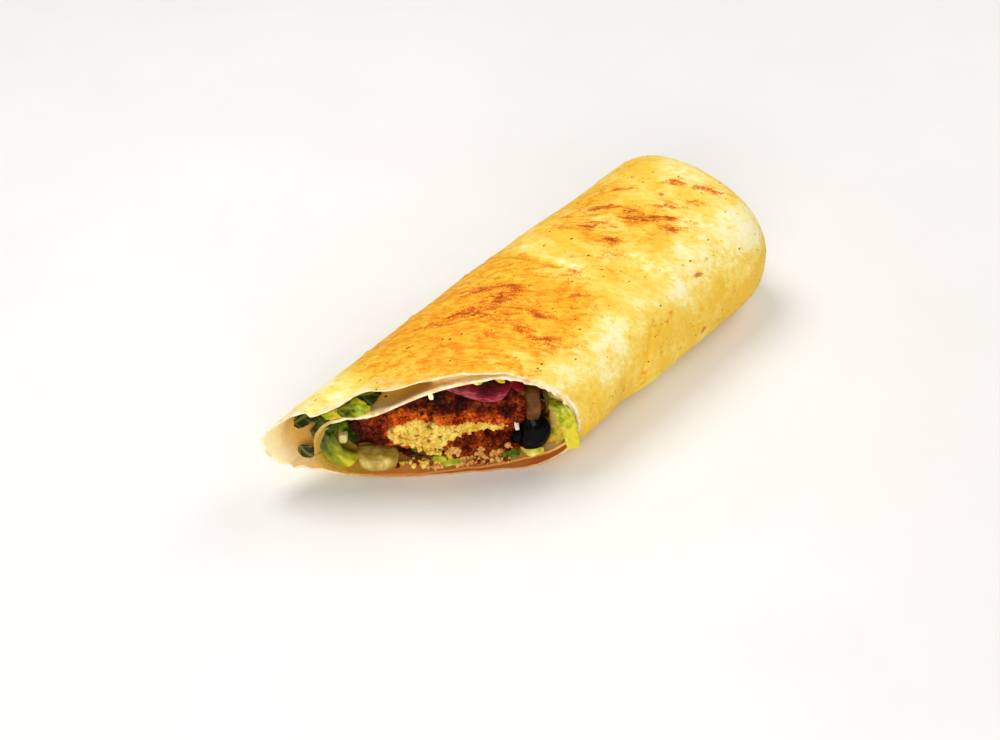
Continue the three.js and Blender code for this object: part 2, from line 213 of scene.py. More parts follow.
def facing(rings, row):
    # outward unit normals of a grid of rings, outward being away from the middle of one row
    aroundWay = np.roll(rings, -1, 1) - np.roll(rings, 1, 1)
    alongWay = np.gradient(rings, axis=0)
    normal = np.cross(aroundWay, alongWay)
    normal = normal / (np.linalg.norm(normal, axis=-1, keepdims=True) + 1e-9)
    high = rings[row, :, 2]
    return normal * np.sign((normal[row, :, 2] * (high - high.mean())).sum())


def withEnds(field):
    # one value a ring point, and one more for each end's middle point
    return np.concatenate([field.ravel(), [field[0].mean(), field[-1].mean()]])


def colour(red, green, blue):
    # a screen colour from 0 to 255 as the linear value that nodes take
    return tuple((c / 255 / 12.92) if c < 10 else ((c / 255 + 0.055) / 1.055) ** 2.4
                 for c in (red, green, blue)) + (1,)


def addNode(tree, kind, inputs=None, **settings):
    made = tree.nodes.new("ShaderNode" + kind)
    for key, value in settings.items():
        setattr(made, key, value)
    for key, value in (inputs or {}).items():
        if isinstance(value, bpy.types.NodeSocket):
            tree.links.new(value, made.inputs[key])
        else:
            made.inputs[key].default_value = value
    return made


def newMaterial(name, **sockets):
    # the material, its node tree, its shader and the object coordinates
    material = bpy.data.materials.new(name)
    material.use_nodes = True
    tree = material.node_tree
    shader = tree.nodes["Principled BSDF"]
    for key, value in sockets.items():
        shader.inputs[key.replace("_", " ")].default_value = value
    return material, tree, shader, addNode(tree, "TexCoord").outputs["Object"]


def ramp(tree, amount, stops):
    # each stop is a place and a screen colour, or a place and a grey from 0 to 1
    made = addNode(tree, "ValToRGB", {"Fac": amount})
    elements = made.color_ramp.elements
    while len(elements) < len(stops):
        elements.new(1)
    for element, (place, shade) in zip(elements, stops):
        element.position = place
        element.color = colour(*shade) if isinstance(shade, tuple) else (shade, shade, shade, 1)
    return made.outputs["Color"]


def blend(tree, amount, first, second):
    # each of the two is an output of a node or a screen colour
    a, b = [colour(*shade) if isinstance(shade, tuple) else shade for shade in (first, second)]
    return addNode(tree, "Mix", {"Factor": amount, 6: a, 7: b}, data_type="RGBA").outputs[2]


def sums(tree, operation, first, second):
    return addNode(tree, "Math", {0: first, 1: second}, operation=operation).outputs[0]


def times(tree, first, second):
    return sums(tree, "MULTIPLY", first, second)


def plus(tree, first, *others):
    for other in others:
        first = sums(tree, "ADD", first, other)
    return first


def swing(tree, amount, share):
    # a pattern from 0 to 1 as a swing either side of 0
    return times(tree, sums(tree, "SUBTRACT", amount, 0.5), share)


def swings(tree, start, *pairs):
    # a start value with the swings of several patterns, each with its share
    return plus(tree, start, *[swing(tree, amount, share) for amount, share in pairs])


def fade(tree, value, start, end, first, last=0.0):
    # from one amount to another while the value goes from start to end
    return addNode(tree, "MapRange", {0: value, 1: start, 2: end, 3: first, 4: last}).outputs[0]


def field(tree, name):
    return addNode(tree, "Attribute", attribute_name=name).outputs["Fac"]


def pattern(tree, source, scale, detail=4, stretch=(1, 1, 1), turned=0, roughness=0.6, warp=0):
    # noise from 0 to 1 over a coordinate, its features drawn out by `stretch` along a turned direction
    placed = addNode(tree, "Mapping", {"Vector": source, "Rotation": (0, 0, math.radians(turned)),
                                       "Scale": stretch}, vector_type="TEXTURE")
    made = addNode(tree, "TexNoise", {"Vector": placed.outputs[0], "Scale": scale, "Detail": detail,
                                      "Roughness": roughness, "Distortion": warp})
    return made.outputs["Fac"]


def speckles(tree, source, scale, stretch=(1, 1, 1)):
    placed = addNode(tree, "Mapping", {"Vector": source, "Scale": stretch})
    made = addNode(tree, "TexVoronoi", {"Vector": placed.outputs[0], "Scale": scale})
    return made.outputs["Distance"], made.outputs["Color"]


def unrolledMap(tree):
    # the map that makeTortilla and makeStrip lay over their meshes, in mm
    return addNode(tree, "UVMap", uv_map="unrolled").outputs[0]


def surface(tree, shader, shade, height, strength, depth):
    # a colour, and fine relief from a pattern, `depth` in mm
    tree.links.new(shade, shader.inputs["Base Color"])
    made = addNode(tree, "Bump", {"Height": height, "Strength": strength, "Distance": depth * mm})
    tree.links.new(made.outputs[0], shader.inputs["Normal"])


addCamera()
addLamps()

floor = {"size": 1600, "shades": [(0.3, (236, 234, 230)), (0.7, (240, 238, 235))]}


def addFloor():
    material, tree, shader, solid = newMaterial("paleTable", Roughness=0.6)
    shade = ramp(tree, pattern(tree, solid, 14, 3), floor["shades"])
    tree.links.new(shade, shader.inputs["Base Color"])
    half = floor["size"] / 2
    mesh = bpy.data.meshes.new("tableTop")
    corners = [(-half, -half, 0), (half, -half, 0), (half, half, 0), (-half, half, 0)]
    mesh.from_pydata([Vector(c) * mm for c in corners], [], [(0, 1, 2, 3)])
    mesh.materials.append(material)
    table = bpy.data.objects.new("tableTop", mesh)
    bpy.context.scene.collection.objects.link(table)


addFloor()

print("falafel wrap: the roll's sections")

# `widest` is how high the widest points are, as shares of the height, on the left and right.
# `roundness` is that of the left, the left at the tip, the right, and the underside
roll = {
    "halfWidth": 31.7, "farHalfWidth": 30.5, "height": 43.4, "tipHeight": 32.4, "swell": 130,
    "bow": 2, "crestShift": 2.8, "yTip": -88.4, "ySide": -21.4, "yEnd": 89.2, "endRadius": 23,
    "pressedFlat": 0.9, "widest": (0.6, 0.4), "roundness": (2.2, 1.8, 2.5, 2.3),
    "dent": (1.8, 6, 7), "dentZ": 12, "dentTall": 11,
}
# the outer turn's lip at the cut, the slack inner turn, and the folded end. Threes are height or
# depth, the middle, and the reach
lip = {
    "rise": (2, 14, 10), "sag": (2.2, -9, 8), "droop": (1.9, -19, 4), "fade": 20, "thin": 0.65,
    "thinTo": 7, "torn": (3.4, -15, 7), "jut": (3.4, -18.2, 4.2), "tooth": (2.4, -25.6, 0.6),
    "shreds": (1.5, -15, 3.4),
}
inner = {
    "left": (-21.7, 12.5), "rightZ": 15.5, "overhang": 0.4, "crest": (13, 38), "foot": 2,
    "roundness": (3.2, 2.3, 2.7), "sag": (6, -9, 10.5), "jut": (5, -2, 15), "settle": 34,
}
folded = {
    "toHeight": 13, "flatter": 0.82, "narrower": 0.7, "bluntness": 2.8,
    "flapHeight": 16, "flapSlope": -0.35, "flapDepth": 1.4, "flapBlend": 1.3, "gathers": 0.8,
}
sheet = {
    "thickness": 1.3, "gap": 0.8, "pressed": 0.2, "pocket": 30, "shallow": 5, "floury": 6,
    "seamAngle": 3.72, "seamStep": 1.1, "seamFade": 2.4,
}


def yCut(x):
    return mix(roll["yTip"], roll["ySide"], (x / roll["halfWidth"] + 1) / 2)


def oval(angle, left, right, top, bottom, topLeft, topRight, below):
    # a lopsided oval through its widest, highest and lowest points, with its own roundness a quarter
    c, s = np.cos(angle), np.sin(angle)
    upper = s >= 0
    peakX, peakZ = np.where(upper, top[0], bottom[0]), np.where(upper, top[1], bottom[1])
    n = np.where(upper, np.where(c < 0, topLeft, topRight), below)
    reach = np.where(c < 0, peakX - left[0], right[0] - peakX)
    x = peakX + reach * power(c, 2 / n)

    def across(v):
        return mix(left[1], right[1], (v - left[0]) / (right[0] - left[0]))

    z = across(x) + (peakZ - across(peakX)) * np.abs(s) ** (2 / n)
    return x, z


def seamStep(angle):
    past = (angle - sheet["seamAngle"] + turn) % turn
    return sheet["seamStep"] * smooth(1 - past / sheet["seamFade"])


def outside(angle, y, inset, seamShare=1):
    along = np.clip((y - roll["yTip"]) / roll["swell"], 0, 1)
    nearTip = (1 - along) ** 1.5
    height = mix(roll["height"], roll["tipHeight"], (1 - along) ** 2)
    half = mix(roll["halfWidth"], roll["farHalfWidth"], along)
    drawn = inset + seamStep(angle) * seamShare
    leftHigh, rightHigh = roll["widest"]
    leftRound, tipRound, rightRound, below = roll["roundness"]
    x, z = oval(angle, (-half + drawn, height * leftHigh), (half - drawn, height * rightHigh),
                (roll["crestShift"] * nearTip, height + roll["pressedFlat"] - drawn), (0, inset),
                mix(leftRound, tipRound, nearTip), rightRound, below)
    length = roll["yEnd"] - roll["yTip"]
    bend = roll["bow"] * (np.sin(math.pi * (y - roll["yTip"]) / length) - 0.35)
    waist = np.where(x > 0, hump(y, roll["dent"]) * bump(z, roll["dentZ"], roll["dentTall"]), 0)
    nearLip = np.where(np.sin(angle) > 0, smooth(1 - (y - yCut(x)) / lip["fade"]), 0)
    lift = nearLip * (hump(x, lip["rise"]) - hump(x, lip["sag"]) - hump(x, lip["droop"]))
    return x + bend - waist, np.maximum(z + lift - roll["pressedFlat"], inset)


def wallAt(deep):
    # the sheet thins towards its torn lip
    return mix(lip["thin"], sheet["thickness"], smooth(deep / lip["thinTo"]))


def clearance(angle, deep):
    # from the outer face in to the inner turn, which lies apart only on the left
    return wallAt(deep) + mix(sheet["pressed"], sheet["gap"], smooth(-2 * np.cos(angle)))


def innerTurn(angle, clear, inset):
    outer = clear + inset
    leftX, leftZ = inner["left"]
    rightX = roll["halfWidth"] + inner["overhang"] - outer
    crestX, crestZ = inner["crest"]
    x, z = oval(angle, (leftX + inset, leftZ), (rightX, inner["rightZ"]),
                (crestX, crestZ - outer), (inner["foot"], outer), *inner["roundness"])
    return x, z - np.where(np.sin(angle) > 0, hump(x, inner["sag"]), 0)


def tucked(x, y, z, under):
    # the inner turn kept below the outer one's inside face
    fine = np.linspace(0.02, math.pi - 0.02, 90)
    roofX, roofZ = outside(fine[None], y[:, None], np.broadcast_to(under, y.shape)[:, None])
    roof = np.array([np.interp(at, xs[::-1], zs[::-1]) for at, xs, zs in zip(x, roofX, roofZ)])
    return np.minimum(z, roof)


def ragged(angle, seed):
    # how far a torn edge wanders, in mm
    coarse = 0.7 * softNoise(angle * 9, seed, 0.5) + 0.35 * softNoise(angle * 23, seed, 7.5)
    return coarse + 0.14 * roughNoise(angle * 70, seed, 3.5, 3)


def tornBack(x, angle):
    # the upper lip juts forward at the left and is torn back in a step beside it
    depth, start, reach = lip["torn"]
    step = np.where(x > start, depth * smooth((x - start) / 0.8) * bump(x, start, reach), 0)
    return np.where(np.sin(angle) > 0, step - hump(x, lip["jut"]), -hump(x, lip["tooth"]))


def lipY(angle, inset):
    # the cut is slanted, so the lip's x and y are found together, step by step
    y = np.full(angle.shape, float(yCut(0)))
    for _ in range(12):
        x = outside(angle, y, inset)[0]
        y = yCut(x) + tornBack(x, angle)
    shreds = hump(x, lip["shreds"]) * (np.sin(angle) > 0) * roughNoise(angle * 120, 3.3, 0.7, 3)
    return y + ragged(angle, 1) + shreds


def gapDepth(angle):
    # the gap between the two turns is deep on the left alone
    return mix(sheet["shallow"], sheet["pocket"], smooth((-np.cos(angle) - 0.1) / 0.6))


def outerRing(angle, share, inset):
    y = mix(lipY(angle, inset), roll["yEnd"], share)
    t = np.clip((y - roll["yEnd"] + roll["endRadius"]) / roll["endRadius"], 0, 1)
    drawn = 1 - (1 - t ** folded["bluntness"]) ** (1 / folded["bluntness"])
    wide, high = outside(angle, y, inset, 1 - share**6)
    x = wide * (1 - folded["narrower"] * drawn)
    z = mix(high, folded["toHeight"], folded["flatter"] * drawn)
    underFlap = smooth((folded["flapHeight"] + x * folded["flapSlope"] - z) / folded["flapBlend"])
    gathers = (1 - np.abs(softNoise((x + 0.4 * z) / 7, z / 20, 4.1))) ** 4 * (0.35 + 0.65 * underFlap)
    sunk = folded["flapDepth"] * underFlap + folded["gathers"] * gathers
    return np.stack([x, y - sunk * smooth(drawn * 3), z], -1)


def outerTurnInside(angle, part):
    deep = gapDepth(angle) * part
    wall = wallAt(deep)
    y = lipY(angle, wall) + deep
    x, z = outside(angle, y, wall)
    return np.stack([x, y, z], -1)


def innerRing(angle, deep, inset):
    clear = clearance(angle, deep)
    x0, z0 = innerTurn(angle, clear, inset)
    forward = np.where(np.sin(angle) > 0, hump(x0, inner["jut"]), 0) * smooth(1 - deep / 12)
    teeth = 0.5 * np.clip(roughNoise(angle * 34, 1.7, 2.9, 2), 0, 1)
    teeth = teeth * np.where(np.sin(angle) > 0, 1, 0.3)
    y = yCut(x0) + (ragged(angle, 2) - teeth) * smooth(1 - deep / 6) + deep - forward
    x1, z1 = outside(angle, y, clear + inset)
    t = smooth(deep / inner["settle"])
    x, z = mix(x0, x1, t), mix(z0, z1, t)
    z = np.where(np.sin(angle) > 0, tucked(x, y, z, clear + inset), z)
    return np.stack([x, y, z], -1)


slant = np.array([2 * roll["halfWidth"], roll["ySide"] - roll["yTip"]])
slant = slant / np.linalg.norm(slant)  # along the cut, in plan


def onCut(s, z, deep=0):
    # `s` along the cut from its sharp tip, at height z, and `deep` into the food
    x = -roll["halfWidth"] + slant[0] * s - slant[1] * deep
    y = roll["yTip"] + slant[1] * s + slant[0] * deep
    return np.stack(np.broadcast_arrays(x, y, z), -1).astype(float)


def cutPlace(points):
    # how far along the cut and how deep behind it points lie
    x, y = points[..., 0] + roll["halfWidth"], points[..., 1] - roll["yTip"]
    return x * slant[0] + y * slant[1], y * slant[0] - x * slant[1]


inwards = onCut(0, 0, 1) - onCut(0, 0, 0)
sideways = onCut(1, 0) - onCut(0, 0)
upwards = np.array([0.0, 0, 1])

print("falafel wrap: tortilla")

# golden, browned and pale patches: arc right of the crest, y, reach round, reach along, strength.
# Browned ones are streaks, and their two reaches are turned by `streakTilt` degrees
tortilla = {
    "around": 320,
    "lumps": 0.8,
    "wrinkles": 0.3,
    "blisters": 0.3,
    "frayed": 0.16,
    "edgeRound": 0.22,
    "creaseDepth": 1.5,
    "streakTilt": 42,
    "golden": [
        (-5, -29, 26, 29, 1.15), (-22, -52, 12, 14, 0.62), (-16, 2, 14, 8, 0.45), (10, 1, 11, 8, 0.65),
        (17, -12, 6, 5, 0.4), (2, 18, 8, 4, 0.3), (14, 17, 7, 4, 0.3), (-4, 26, 7, 4, 0.35),
        (-4, 34, 18, 14, 0.5), (4, 54, 16, 13, 0.4), (-20, 46, 8, 16, 0.5), (-14, 64, 12, 12, 0.2),
        (-34, -12, 12, 26, 0.6), (-36, 36, 12, 24, 0.6), (36, 20, 5, 7, 0.25),
        (54, 12, 12, 14, 0.12), (80, -18, 18, 26, 0.8), (90, 24, 20, 26, 0.8), (76, 58, 14, 14, 0.7),
    ],
    "browned": [
        (-6, -18, 19, 15, 0.17), (-16, -15.6, 5, 2.2, 0.4), (-9.5, -9.5, 6, 2, 0.36),
        (-5, -9.4, 5, 1.8, 0.3), (-10, -25, 6, 2.4, 0.36), (-7, -18.8, 5, 2, 0.36),
        (-6.8, -14.2, 4, 1.8, 0.28), (-1.6, -12.2, 5, 1.8, 0.26), (-1.5, -22.7, 6, 2.2, 0.28),
        (4.5, -13, 6, 2, 0.26), (9, -10.6, 5, 1.8, 0.24), (15, -17.4, 5, 2.6, 0.38),
        (7.5, -19.5, 5, 2.2, 0.3), (-18, -38, 6, 2.6, 0.28), (-13, -31, 6, 2.4, 0.26),
        (1, -30, 7, 2.2, 0.22), (-8, -41, 6, 2.2, 0.2), (10, 4, 7, 2.2, 0.26), (2, 9, 8, 1.8, 0.28),
        (-14, 24, 6, 3, 0.25),
        (2, 44, 18, 12, 0.13), (0, 42, 5, 1.6, 0.42), (-5, 33, 4.5, 1.8, 0.42), (1.5, 29.3, 4, 2.2, 0.44),
        (-7.5, 28.5, 4, 2, 0.32), (-12, 37.5, 4, 2.2, 0.34), (-9, 42.5, 4.5, 1.6, 0.32),
        (-2, 46.5, 4, 2, 0.34), (3.3, 45.5, 4.5, 1.4, 0.38), (7.5, 51, 5, 1.2, 0.36),
        (11.4, 47.7, 3.5, 2.2, 0.4), (-12, 53, 6, 1.2, 0.38), (-0.5, 67.5, 5, 2, 0.42),
        (6.5, 71, 5, 1.8, 0.38), (5.5, 56.5, 6, 1.1, 0.32), (9, 64, 4, 1.6, 0.36), (12, 75, 3, 1.8, 0.34),
        (7, 24.5, 5, 2, 0.34), (0, 17, 4, 1.6, 0.28), (-16.5, 30.5, 4, 1.6, 0.28),
        (80, -20, 11, 12, 0.4), (88, 22, 12, 14, 0.42), (-34, -8, 6, 12, 0.2),
    ],
    "pale": [
        (13, -28, 4, 2.6, 0.5), (-12, 9, 8, 2, 0.6), (-14, 15, 9, 2.4, 0.45), (6, -37, 5, 2, 0.35),
        (34, -12, 9, 26, 0.2), (27, -21, 5, 6, 0.35), (25, 4, 6, 7, 0.4), (23, 21, 6, 7, 0.45),
        (12, 29, 7, 4.5, 0.45), (21, 46, 7, 7, 0.5), (22, 64, 7, 10, 0.3), (30, 70, 12, 13, 0.8),
        (-8, 65, 9, 6, 0.7), (5, 62, 6, 2.5, 0.25), (-5, 57, 7, 2, 0.12), (-26, -70, 12, 16, 0.5),
        (-14, -51, 6, 5, 0.25), (6, -52, 10, 4, 0.2), (-4, 21, 9, 1.6, 0.3), (2, 79, 12, 4, 0.3),
        (0, 36.5, 7, 1.5, 0.3), (-6, 49.5, 6, 1.6, 0.3),
    ],
    # smooth, buttery yellow dough without toast
    "buttery": [(42, 34, 12, 44, 0.2), (32, 14, 6, 10, 0.1)],
    # small brown marks on the right side
    "marks": [
        (-0.3, 59, 1.3, 0.9, 0.7), (28.4, 43.6, 0.9, 1.6, 0.7), (28.9, 45.6, 0.8, 1.6, 0.6),
        (26.5, 50.4, 1, 2.4, 0.4), (47.6, 42.5, 2, 1.5, 0.7), (31.5, 18.5, 1.5, 3.4, 0.34),
        (34, 23, 1.5, 3, 0.34), (37, 12, 1.8, 2.6, 0.3), (41, 19, 2.2, 2.2, 0.32),
    ],
    # shallow creases across the roll: arc and y at each end, and how deep beside the others
    "creases": [
        (-24, 3, 2, 9.2, 0.8), (-23, 7.6, -8, 10.6, 0.6), (-28, -8, -3, -5.4, 0.5),
        (-24, 20, -6, 17.5, 0.35), (30, 17.5, 50, 9.5, 0.4), (34, 3, 54, 3, 0.25),
        (-20, 66, 4, 62, 0.3), (10, 36, 26, 33, 0.25),
    ],
}


def arcOf(angle):
    # arc length in mm round a middle section, from the crest, positive to the right
    fine = np.linspace(-turn / 4, 3 * turn / 4, 2881)
    x, z = outside(fine, np.full(fine.shape, 10.0), 0)
    length = np.concatenate([[0], np.cumsum(np.hypot(np.diff(x), np.diff(z)))])
    crest = np.interp(turn / 4, fine, length)
    return crest - np.interp(angle, fine, length)


def patches(names, arc, y):
    # how strongly the listed patches of these names lie over each point
    total = np.zeros(np.broadcast(arc, y).shape)
    for name in names:
        sign = -1 if name == "pale" else 1
        tilt = math.radians(tortilla["streakTilt"]) if name == "browned" else 0
        c, s = math.cos(tilt), math.sin(tilt)
        for a, b, reachA, reachY, strength in tortilla[name]:
            u, v = (arc - a) * c + (y - b) * s, (y - b) * c - (arc - a) * s
            total += sign * strength * np.exp(-((u / reachA) ** 2 + (v / reachY) ** 2) ** 1.2)
    return total


def creased(arc, y):
    # depth of the creases, negative on the fold that stands up beside each
    total = 0
    for a0, y0, a1, y1, depth in tortilla["creases"]:
        long = math.hypot(a1 - a0, y1 - y0)
        ax, ay = (a1 - a0) / long, (y1 - y0) / long
        t = (arc - a0) * ax + (y - y0) * ay
        off = (y - y0) * ax - (arc - a0) * ay + 0.9 * softNoise(arc / 6, y / 6, depth * 9)
        within = smooth(t / 6) * smooth((long - t) / 6)
        total = total + depth * within * (bump(off, 0, 0.8) - 0.45 * bump(off, 2, 1.3))
    return total


def skinRelief(arc, y, toast):
    # how far the skin stands out, in mm
    lumps = tortilla["lumps"] * roughNoise(arc / 17, y / 22, 3.1, 2)
    tilt = y - 0.25 * arc
    ridge = 1 - np.abs(softNoise(arc / 16, tilt / 3.1, 8.2))
    wrinkles = tortilla["wrinkles"] * (ridge**4 - 0.3) * smooth(0.6 + softNoise(arc / 20, y / 15, 1.7))
    spots = grains(arc / 5.2, y / 5.2, 4.4)
    size = 0.26 + 0.16 * softNoise(arc / 9, y / 9, 6.6)
    domes = np.sqrt(np.clip(1 - (spots / size) ** 2, 0, 1)) * smooth(0.3 + 0.7 * toast)
    return lumps + wrinkles + tortilla["blisters"] * domes - tortilla["creaseDepth"] * creased(arc, y)


def toastedShade(tree, solid, drift, blotches, mottle, flecks):
    # cream to warm yellow dough, and the griddle's gold over it
    golden, browned = field(tree, "golden"), field(tree, "browned")
    dough = swings(tree, 0.54, (drift, 1.1), (mottle, 0.5), (flecks, 0.3))
    dough = ramp(tree, plus(tree, dough, times(tree, golden, 0.26), field(tree, "buttery")),
                 [(0.28, (253, 241, 196)), (0.4, (251, 232, 156)), (0.5, (247, 215, 102)),
                  (0.68, (240, 192, 58))])
    warm = swings(tree, golden, (blotches, 1.7), (mottle, 1.7), (flecks, 0.9))
    gold = ramp(tree, swings(tree, 0.5, (mottle, 1.6), (flecks, 0.9)),
                [(0.3, (241, 191, 48)), (0.5, (237, 165, 26)), (0.7, (229, 133, 14))])
    shade = blend(tree, ramp(tree, warm, [(0.32, 0.0), (0.75, 0.8), (1.0, 1.0)]), dough, gold)
    # darker browning, broken up most where it is strongest
    uneven = swings(tree, swing(tree, blotches, 1.8), (mottle, 2.8), (flecks, 2.8))
    heat = plus(tree, times(tree, browned, 1.3), times(tree, uneven, plus(tree, 0.4, browned)))
    burnt = ramp(tree, heat, [(0.3, (241, 152, 24)), (0.5, (229, 120, 12)), (0.7, (210, 98, 8)),
                              (1.0, (168, 72, 8))])
    shade = blend(tree, ramp(tree, heat, [(0.18, 0.0), (0.5, 0.8), (0.8, 1.0)]), shade, burnt)
    singed = swings(tree, field(tree, "mark"), (mottle, 1.3), (flecks, 0.6))
    shade = blend(tree, ramp(tree, singed, [(0.28, 0.0), (0.6, 0.85)]), shade, (196, 106, 22))
    # tiny dark flecks of charred flour, in clusters
    near, pick = speckles(tree, unrolledMap(tree), 0.42, (1.4, 0.8, 1))
    pick = addNode(tree, "SeparateColor", {0: pick}).outputs
    chosen = sums(tree, "GREATER_THAN", swings(tree, pick[0], (drift, 1.4), (blotches, 0.8)), 0.64)
    wide = plus(tree, times(tree, pick[1], 0.1), 0.06)
    speck = times(tree, sums(tree, "LESS_THAN", swings(tree, near, (flecks, 0.5)), wide), chosen)
    return blend(tree, speck, shade, (34, 12, 3))


def insideShade(tree, solid, low, farTip):
    # the moist inner face: darker gold deep in the gap, which is painted shade, olive where its left is
    # wet, browner towards the bottom and pale at the tip
    damp = pattern(tree, solid, 90, 4)
    wet = pattern(tree, solid, 34, 3, roughness=0.5)
    shaded = field(tree, "shaded")
    # painted shade: where the face lies deep or is turned away, the amount moves towards the darker golds
    amount = plus(tree, swings(tree, 0.5, (damp, 0.7), (wet, 1.3)), times(tree, shaded, -0.45))
    shade = ramp(tree, amount, [(0.1, (232, 180, 70)), (0.25, (216, 166, 62)), (0.45, (246, 196, 100)),
                                (0.6, (250, 224, 140)), (0.8, (252, 240, 190))])
    shade = blend(tree, times(tree, field(tree, "wetLeft"), 0.75), shade, (166, 130, 34))
    shade = blend(tree, low, shade, (194, 112, 40))
    tipPale = times(tree, farTip, sums(tree, "SUBTRACT", 1.0, shaded))
    return blend(tree, tipPale, shade, (253, 240, 202))


def tortillaSkinMaterial():
    material, tree, shader, solid = newMaterial(
        "toastedTortilla", Roughness=0.52, Subsurface_Weight=0.22, Subsurface_Scale=0.003,
        Specular_IOR_Level=0.14)
    shader.inputs["Subsurface Radius"].default_value = (1, 0.6, 0.3)
    drift = pattern(tree, solid, 50, 3)
    blotches = pattern(tree, solid, 190, 4, (1.7, 0.8, 1), 42, 0.6, 0.4)
    mottle = pattern(tree, solid, 560, 5, (1.9, 0.75, 1), 42, 0.66, 0.3)
    flecks = pattern(tree, solid, 2300, 4, roughness=0.75)
    x, _y, z = addNode(tree, "SeparateXYZ", {0: solid}).outputs
    low = times(tree, fade(tree, z, 0.002, 0.011, 0.9), fade(tree, x, -0.02, -0.008, 0.1, 1.0))
    shade = toastedShade(tree, solid, drift, blotches, mottle, flecks)
    inside = insideShade(tree, solid, low, fade(tree, x, -0.029, -0.021, 0.7))
    shade = blend(tree, field(tree, "within"), shade, inside)
    # the pale torn edge
    edge = ramp(tree, pattern(tree, solid, 420, 4),
                [(0.3, (230, 180, 120)), (0.5, (253, 230, 180)), (0.7, (255, 244, 214))])
    edge = blend(tree, times(tree, low, 0.9), edge, (196, 132, 70))
    shade = blend(tree, field(tree, "edge"), shade, edge)
    gloss = ramp(tree, swings(tree, 0.5, (mottle, 1.2), (flecks, 0.8)), [(0.3, 0.42), (0.7, 0.62)])
    tree.links.new(gloss, shader.inputs["Roughness"])
    pores = plus(tree, pattern(tree, solid, 1100, 6), times(tree, flecks, 0.5))
    surface(tree, shader, shade, pores, 0.55, 0.35)
    return material


def skinRings(angles):
    # the outside, from the folded end to the lip: finer where it closes in and at the lip. The
    # second result is how far the relief moves the last ring
    closing = 1 - np.linspace(0, 1, 44) ** 1.5 * 0.16
    middle = np.linspace(0.84, 0.06, 112)[1:]
    toLip = 0.06 * (1 - np.linspace(0, 1, 24)[1:]) ** 1.4
    shares = np.concatenate([closing, middle, toLip])
    rings = np.stack([outerRing(angles, share, 0.0) for share in shares])
    y, z = rings[..., 1], rings[..., 2]
    arc = np.broadcast_to(arcOf(angles), y.shape)
    lift = skinRelief(arc, y, patches(["golden"], arc, y))
    calm = smooth(z / 5) * smooth((1 - shares[:, None]) / 0.02)
    raised = facing(rings, 60) * (lift * calm)[..., None]
    return rings + raised, raised[-1]


def tornEdge(angles, outerSide, innerSide, grain, seed):
    # rings across the sheet at a torn edge, which is rounded and frayed
    turns = np.array([0.04, 0.2, 0.4, 0.6, 0.8, 0.96])
    rings = np.stack([mix(outerSide, innerSide, t) for t in turns])
    fray = tortilla["frayed"] * roughNoise(angles * grain, turns[:, None] * 3, seed, 3)
    rings[..., 1] += fray - tortilla["edgeRound"] * np.sin(math.pi * turns)[:, None]
    return rings


def tortillaRings(angles, parts):
    # over the outside, round the lip, in and out of the gap, round the inner turn's mouth and
    # back through the hollow: all the rings, and the name of the region that each is in
    skin, lastLift = skinRings(angles)
    lipInside = outerTurnInside(angles, 0.0) + lastLift * 0.6
    gapOuter = [lipInside] + [outerTurnInside(angles, part) for part in parts]
    gapInner = [innerRing(angles, gapDepth(angles) * part, 0.0) for part in parts[::-1]]
    gapInner.append(innerRing(angles, 0.0, 0.0))
    mouth = innerRing(angles, 0.0, wallAt(0))
    depths = np.concatenate([[0], np.linspace(0.6, 24, 20), [30, 40, 60, 84]])
    hollow = [innerRing(angles, deep, wallAt(deep)) for deep in depths]
    endWall = 2 * sheet["thickness"] + sheet["gap"] + 1.5
    hollow += [outerRing(angles, share, endWall) for share in (0.87, 0.925, 0.95)]
    made = {
        "skin": skin,
        "lipEdge": tornEdge(angles, skin[-1], lipInside, 60, 2.2),
        "gapOuter": np.stack(gapOuter),
        "gapInner": np.stack(gapInner),
        "mouthEdge": tornEdge(angles, gapInner[-1], mouth, 66, 9.2),
        "hollow": np.stack(hollow),
    }
    region = np.repeat(list(made), [len(rings) for rings in made.values()])
    return np.concatenate(list(made.values())), region


